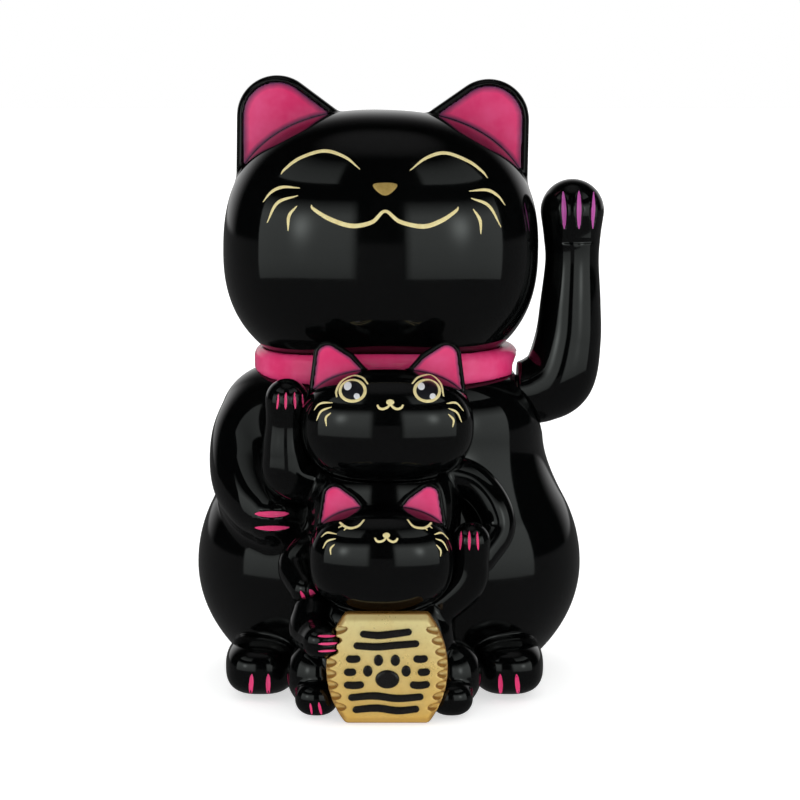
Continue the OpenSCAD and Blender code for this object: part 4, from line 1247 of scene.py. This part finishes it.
view = {"aim": (7.56, 0, 137.68), "distance": 1200, "height": 7.5, "lens": 107.13}
camera = bpy.data.objects.new("camera", bpy.data.cameras.new("camera"))
bpy.context.scene.collection.objects.link(camera)
bpy.context.scene.camera = camera
rise = math.radians(view["height"])
camera.location = Vector((view["aim"][0], -view["distance"] * math.cos(rise),
                          view["aim"][2] + view["distance"] * math.sin(rise))) * mm
camera.rotation_euler = (math.pi / 2 - rise, 0, 0)
camera.data.lens = view["lens"]
camera.data.sensor_width = 36
camera.data.clip_start, camera.data.clip_end = 0.05, 50

# two pairs of soft panels on a dome, in degrees away from the camera and above the table

studio = {"distance": 2.0, "centre": 0.18, "softEdge": 3.0, "glow": 1.5, "glowAt": (38, 9), "glowSize": 6.5,
          "steps": 40}
softboxes = {
    "side": {"az": (6.2, 78), "el": (-12, 27), "radiance": 0.72,
             "fade": [(-12, 0.55), (0, 0.85), (15, 1), (27, 0)]},
    "top": {"az": (18, 80), "el": (40, 64), "radiance": 0.45, "fade": [(40, 1), (52, 0.7), (64, 0)]}}


def lightFinish():
    # shines as strongly as the panel's own "shine" says
    f = Finish("softboxLight")
    f.tree.nodes.remove(f.shader)
    shine = f.node("ShaderNodeAttribute", {"attribute_name": "shine"}, {}, "Fac")
    emission = f.node("ShaderNodeEmission", {}, {"Color": (0.93, 1.0, 0.965, 1), "Strength": shine})
    f.tree.links.new(emission.socket, f.tree.nodes["Material Output"].inputs["Surface"])
    return f.material


def lightPanel(name, side, box, finish):
    # shine falls off as its fade says, with one brighter glow
    steps = studio["steps"]
    turn, rise = np.linspace(*box["az"], steps), np.linspace(*box["el"], steps)
    az, el = [grid.ravel() for grid in np.meshgrid(turn, rise, indexing="ij")]
    a, e = np.radians(az), np.radians(el)
    points = np.column_stack([side * np.sin(a) * np.cos(e), -np.cos(a) * np.cos(e), np.sin(e)])
    points *= studio["distance"] / mm
    points[:, 2] += studio["centre"] / mm
    faces = [(i * steps + j, (i + 1) * steps + j, (i + 1) * steps + j + 1, i * steps + j + 1)[::side]
             for i in range(steps - 1) for j in range(steps - 1)]
    panel = makeObject(name, points, faces, finish)
    heights, shares = zip(*box["fade"])
    edge = np.clip((az - box["az"][0]) / studio["softEdge"], 0, 1)
    away = np.hypot((az - studio["glowAt"][0]) * np.cos(e), el - studio["glowAt"][1]) / studio["glowSize"]
    shine = box["radiance"] * np.interp(el, heights, shares) * edge + studio["glow"] * np.exp(-away ** 2)
    pointValues(panel, "shine", shine)
    panel.visible_camera = False
    panel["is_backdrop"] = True


softboxLight = lightFinish()
for name, box in softboxes.items():
    lightPanel(name + "SoftboxLeft", -1, box, softboxLight)
    lightPanel(name + "SoftboxRight", 1, box, softboxLight)

ground = {"size": 60.0, "low": 0.5, "parts": 8}
bpy.ops.mesh.primitive_grid_add(x_subdivisions=ground["parts"], y_subdivisions=ground["parts"],
                                size=ground["size"], location=(0, 0, -ground["low"] * mm))
floor = bpy.context.object
floor.name = "floor"
floor.data.materials.append(finishes["floor"])
floor.visible_glossy = False
floor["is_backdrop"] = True


class WorldLight(Finish):
    # the same node method on the world's own tree
    def __init__(self, world):
        self.tree = world.node_tree
        self.shader = self.tree.nodes["Background"]

    def between(self, wire, low, high):
        # rises smoothly from 0 to 1
        inputs = {"Value": wire, "From Min": low, "From Max": high}
        return self.node("ShaderNodeMapRange", {"interpolation_type": "SMOOTHSTEP"}, inputs)


# the room: white to the camera, even for diffuse light, and mostly dark in reflections
room = {"dark": 0.004, "behind": 0.6, "above": 0.12, "ambient": 0.95, "table": 0.07, "lowerBehind": 0.85}
world = bpy.data.worlds.new("world")
bpy.context.scene.world = world
world.use_nodes = True
w = WorldLight(world)
seen = w.node("ShaderNodeLightPath", {}, {}, "Is Camera Ray")
diffuse = w.node("ShaderNodeLightPath", {}, {}, "Is Diffuse Ray")
way = w.node("ShaderNodeTexCoord", {}, {}, "Generated")
up = w.node("ShaderNodeSeparateXYZ", {}, [way], "Z")
back = w.node("ShaderNodeSeparateXYZ", {}, [way], "Y")
overTable = w.between(up, -0.02, 0.02)
behind = w.between(back, 0.45, 0.9) * overTable * (1 - room["lowerBehind"] * w.between(up, 0.25, 0.8))
glossy = (behind * room["behind"]).most(w.between(up, 0.9, 1.0) * room["above"]) + room["dark"]
glossy = glossy + (1 - overTable) * room["table"]
strength = seen + (1 - seen) * (diffuse * room["ambient"] + (1 - diffuse) * glossy)
w.tree.links.new(strength.socket, w.shader.inputs["Strength"])
w.shader.inputs["Color"].default_value = (1, 1, 1, 1)
bpy.context.scene.view_settings.view_transform = "Standard"

sizes = {"cad": [list(cadLow), list(cadHigh)], "visual": [list(v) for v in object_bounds()]}
print("sizes", [[round(v / mm, 1) for v in c] for pair in sizes.values() for c in pair])
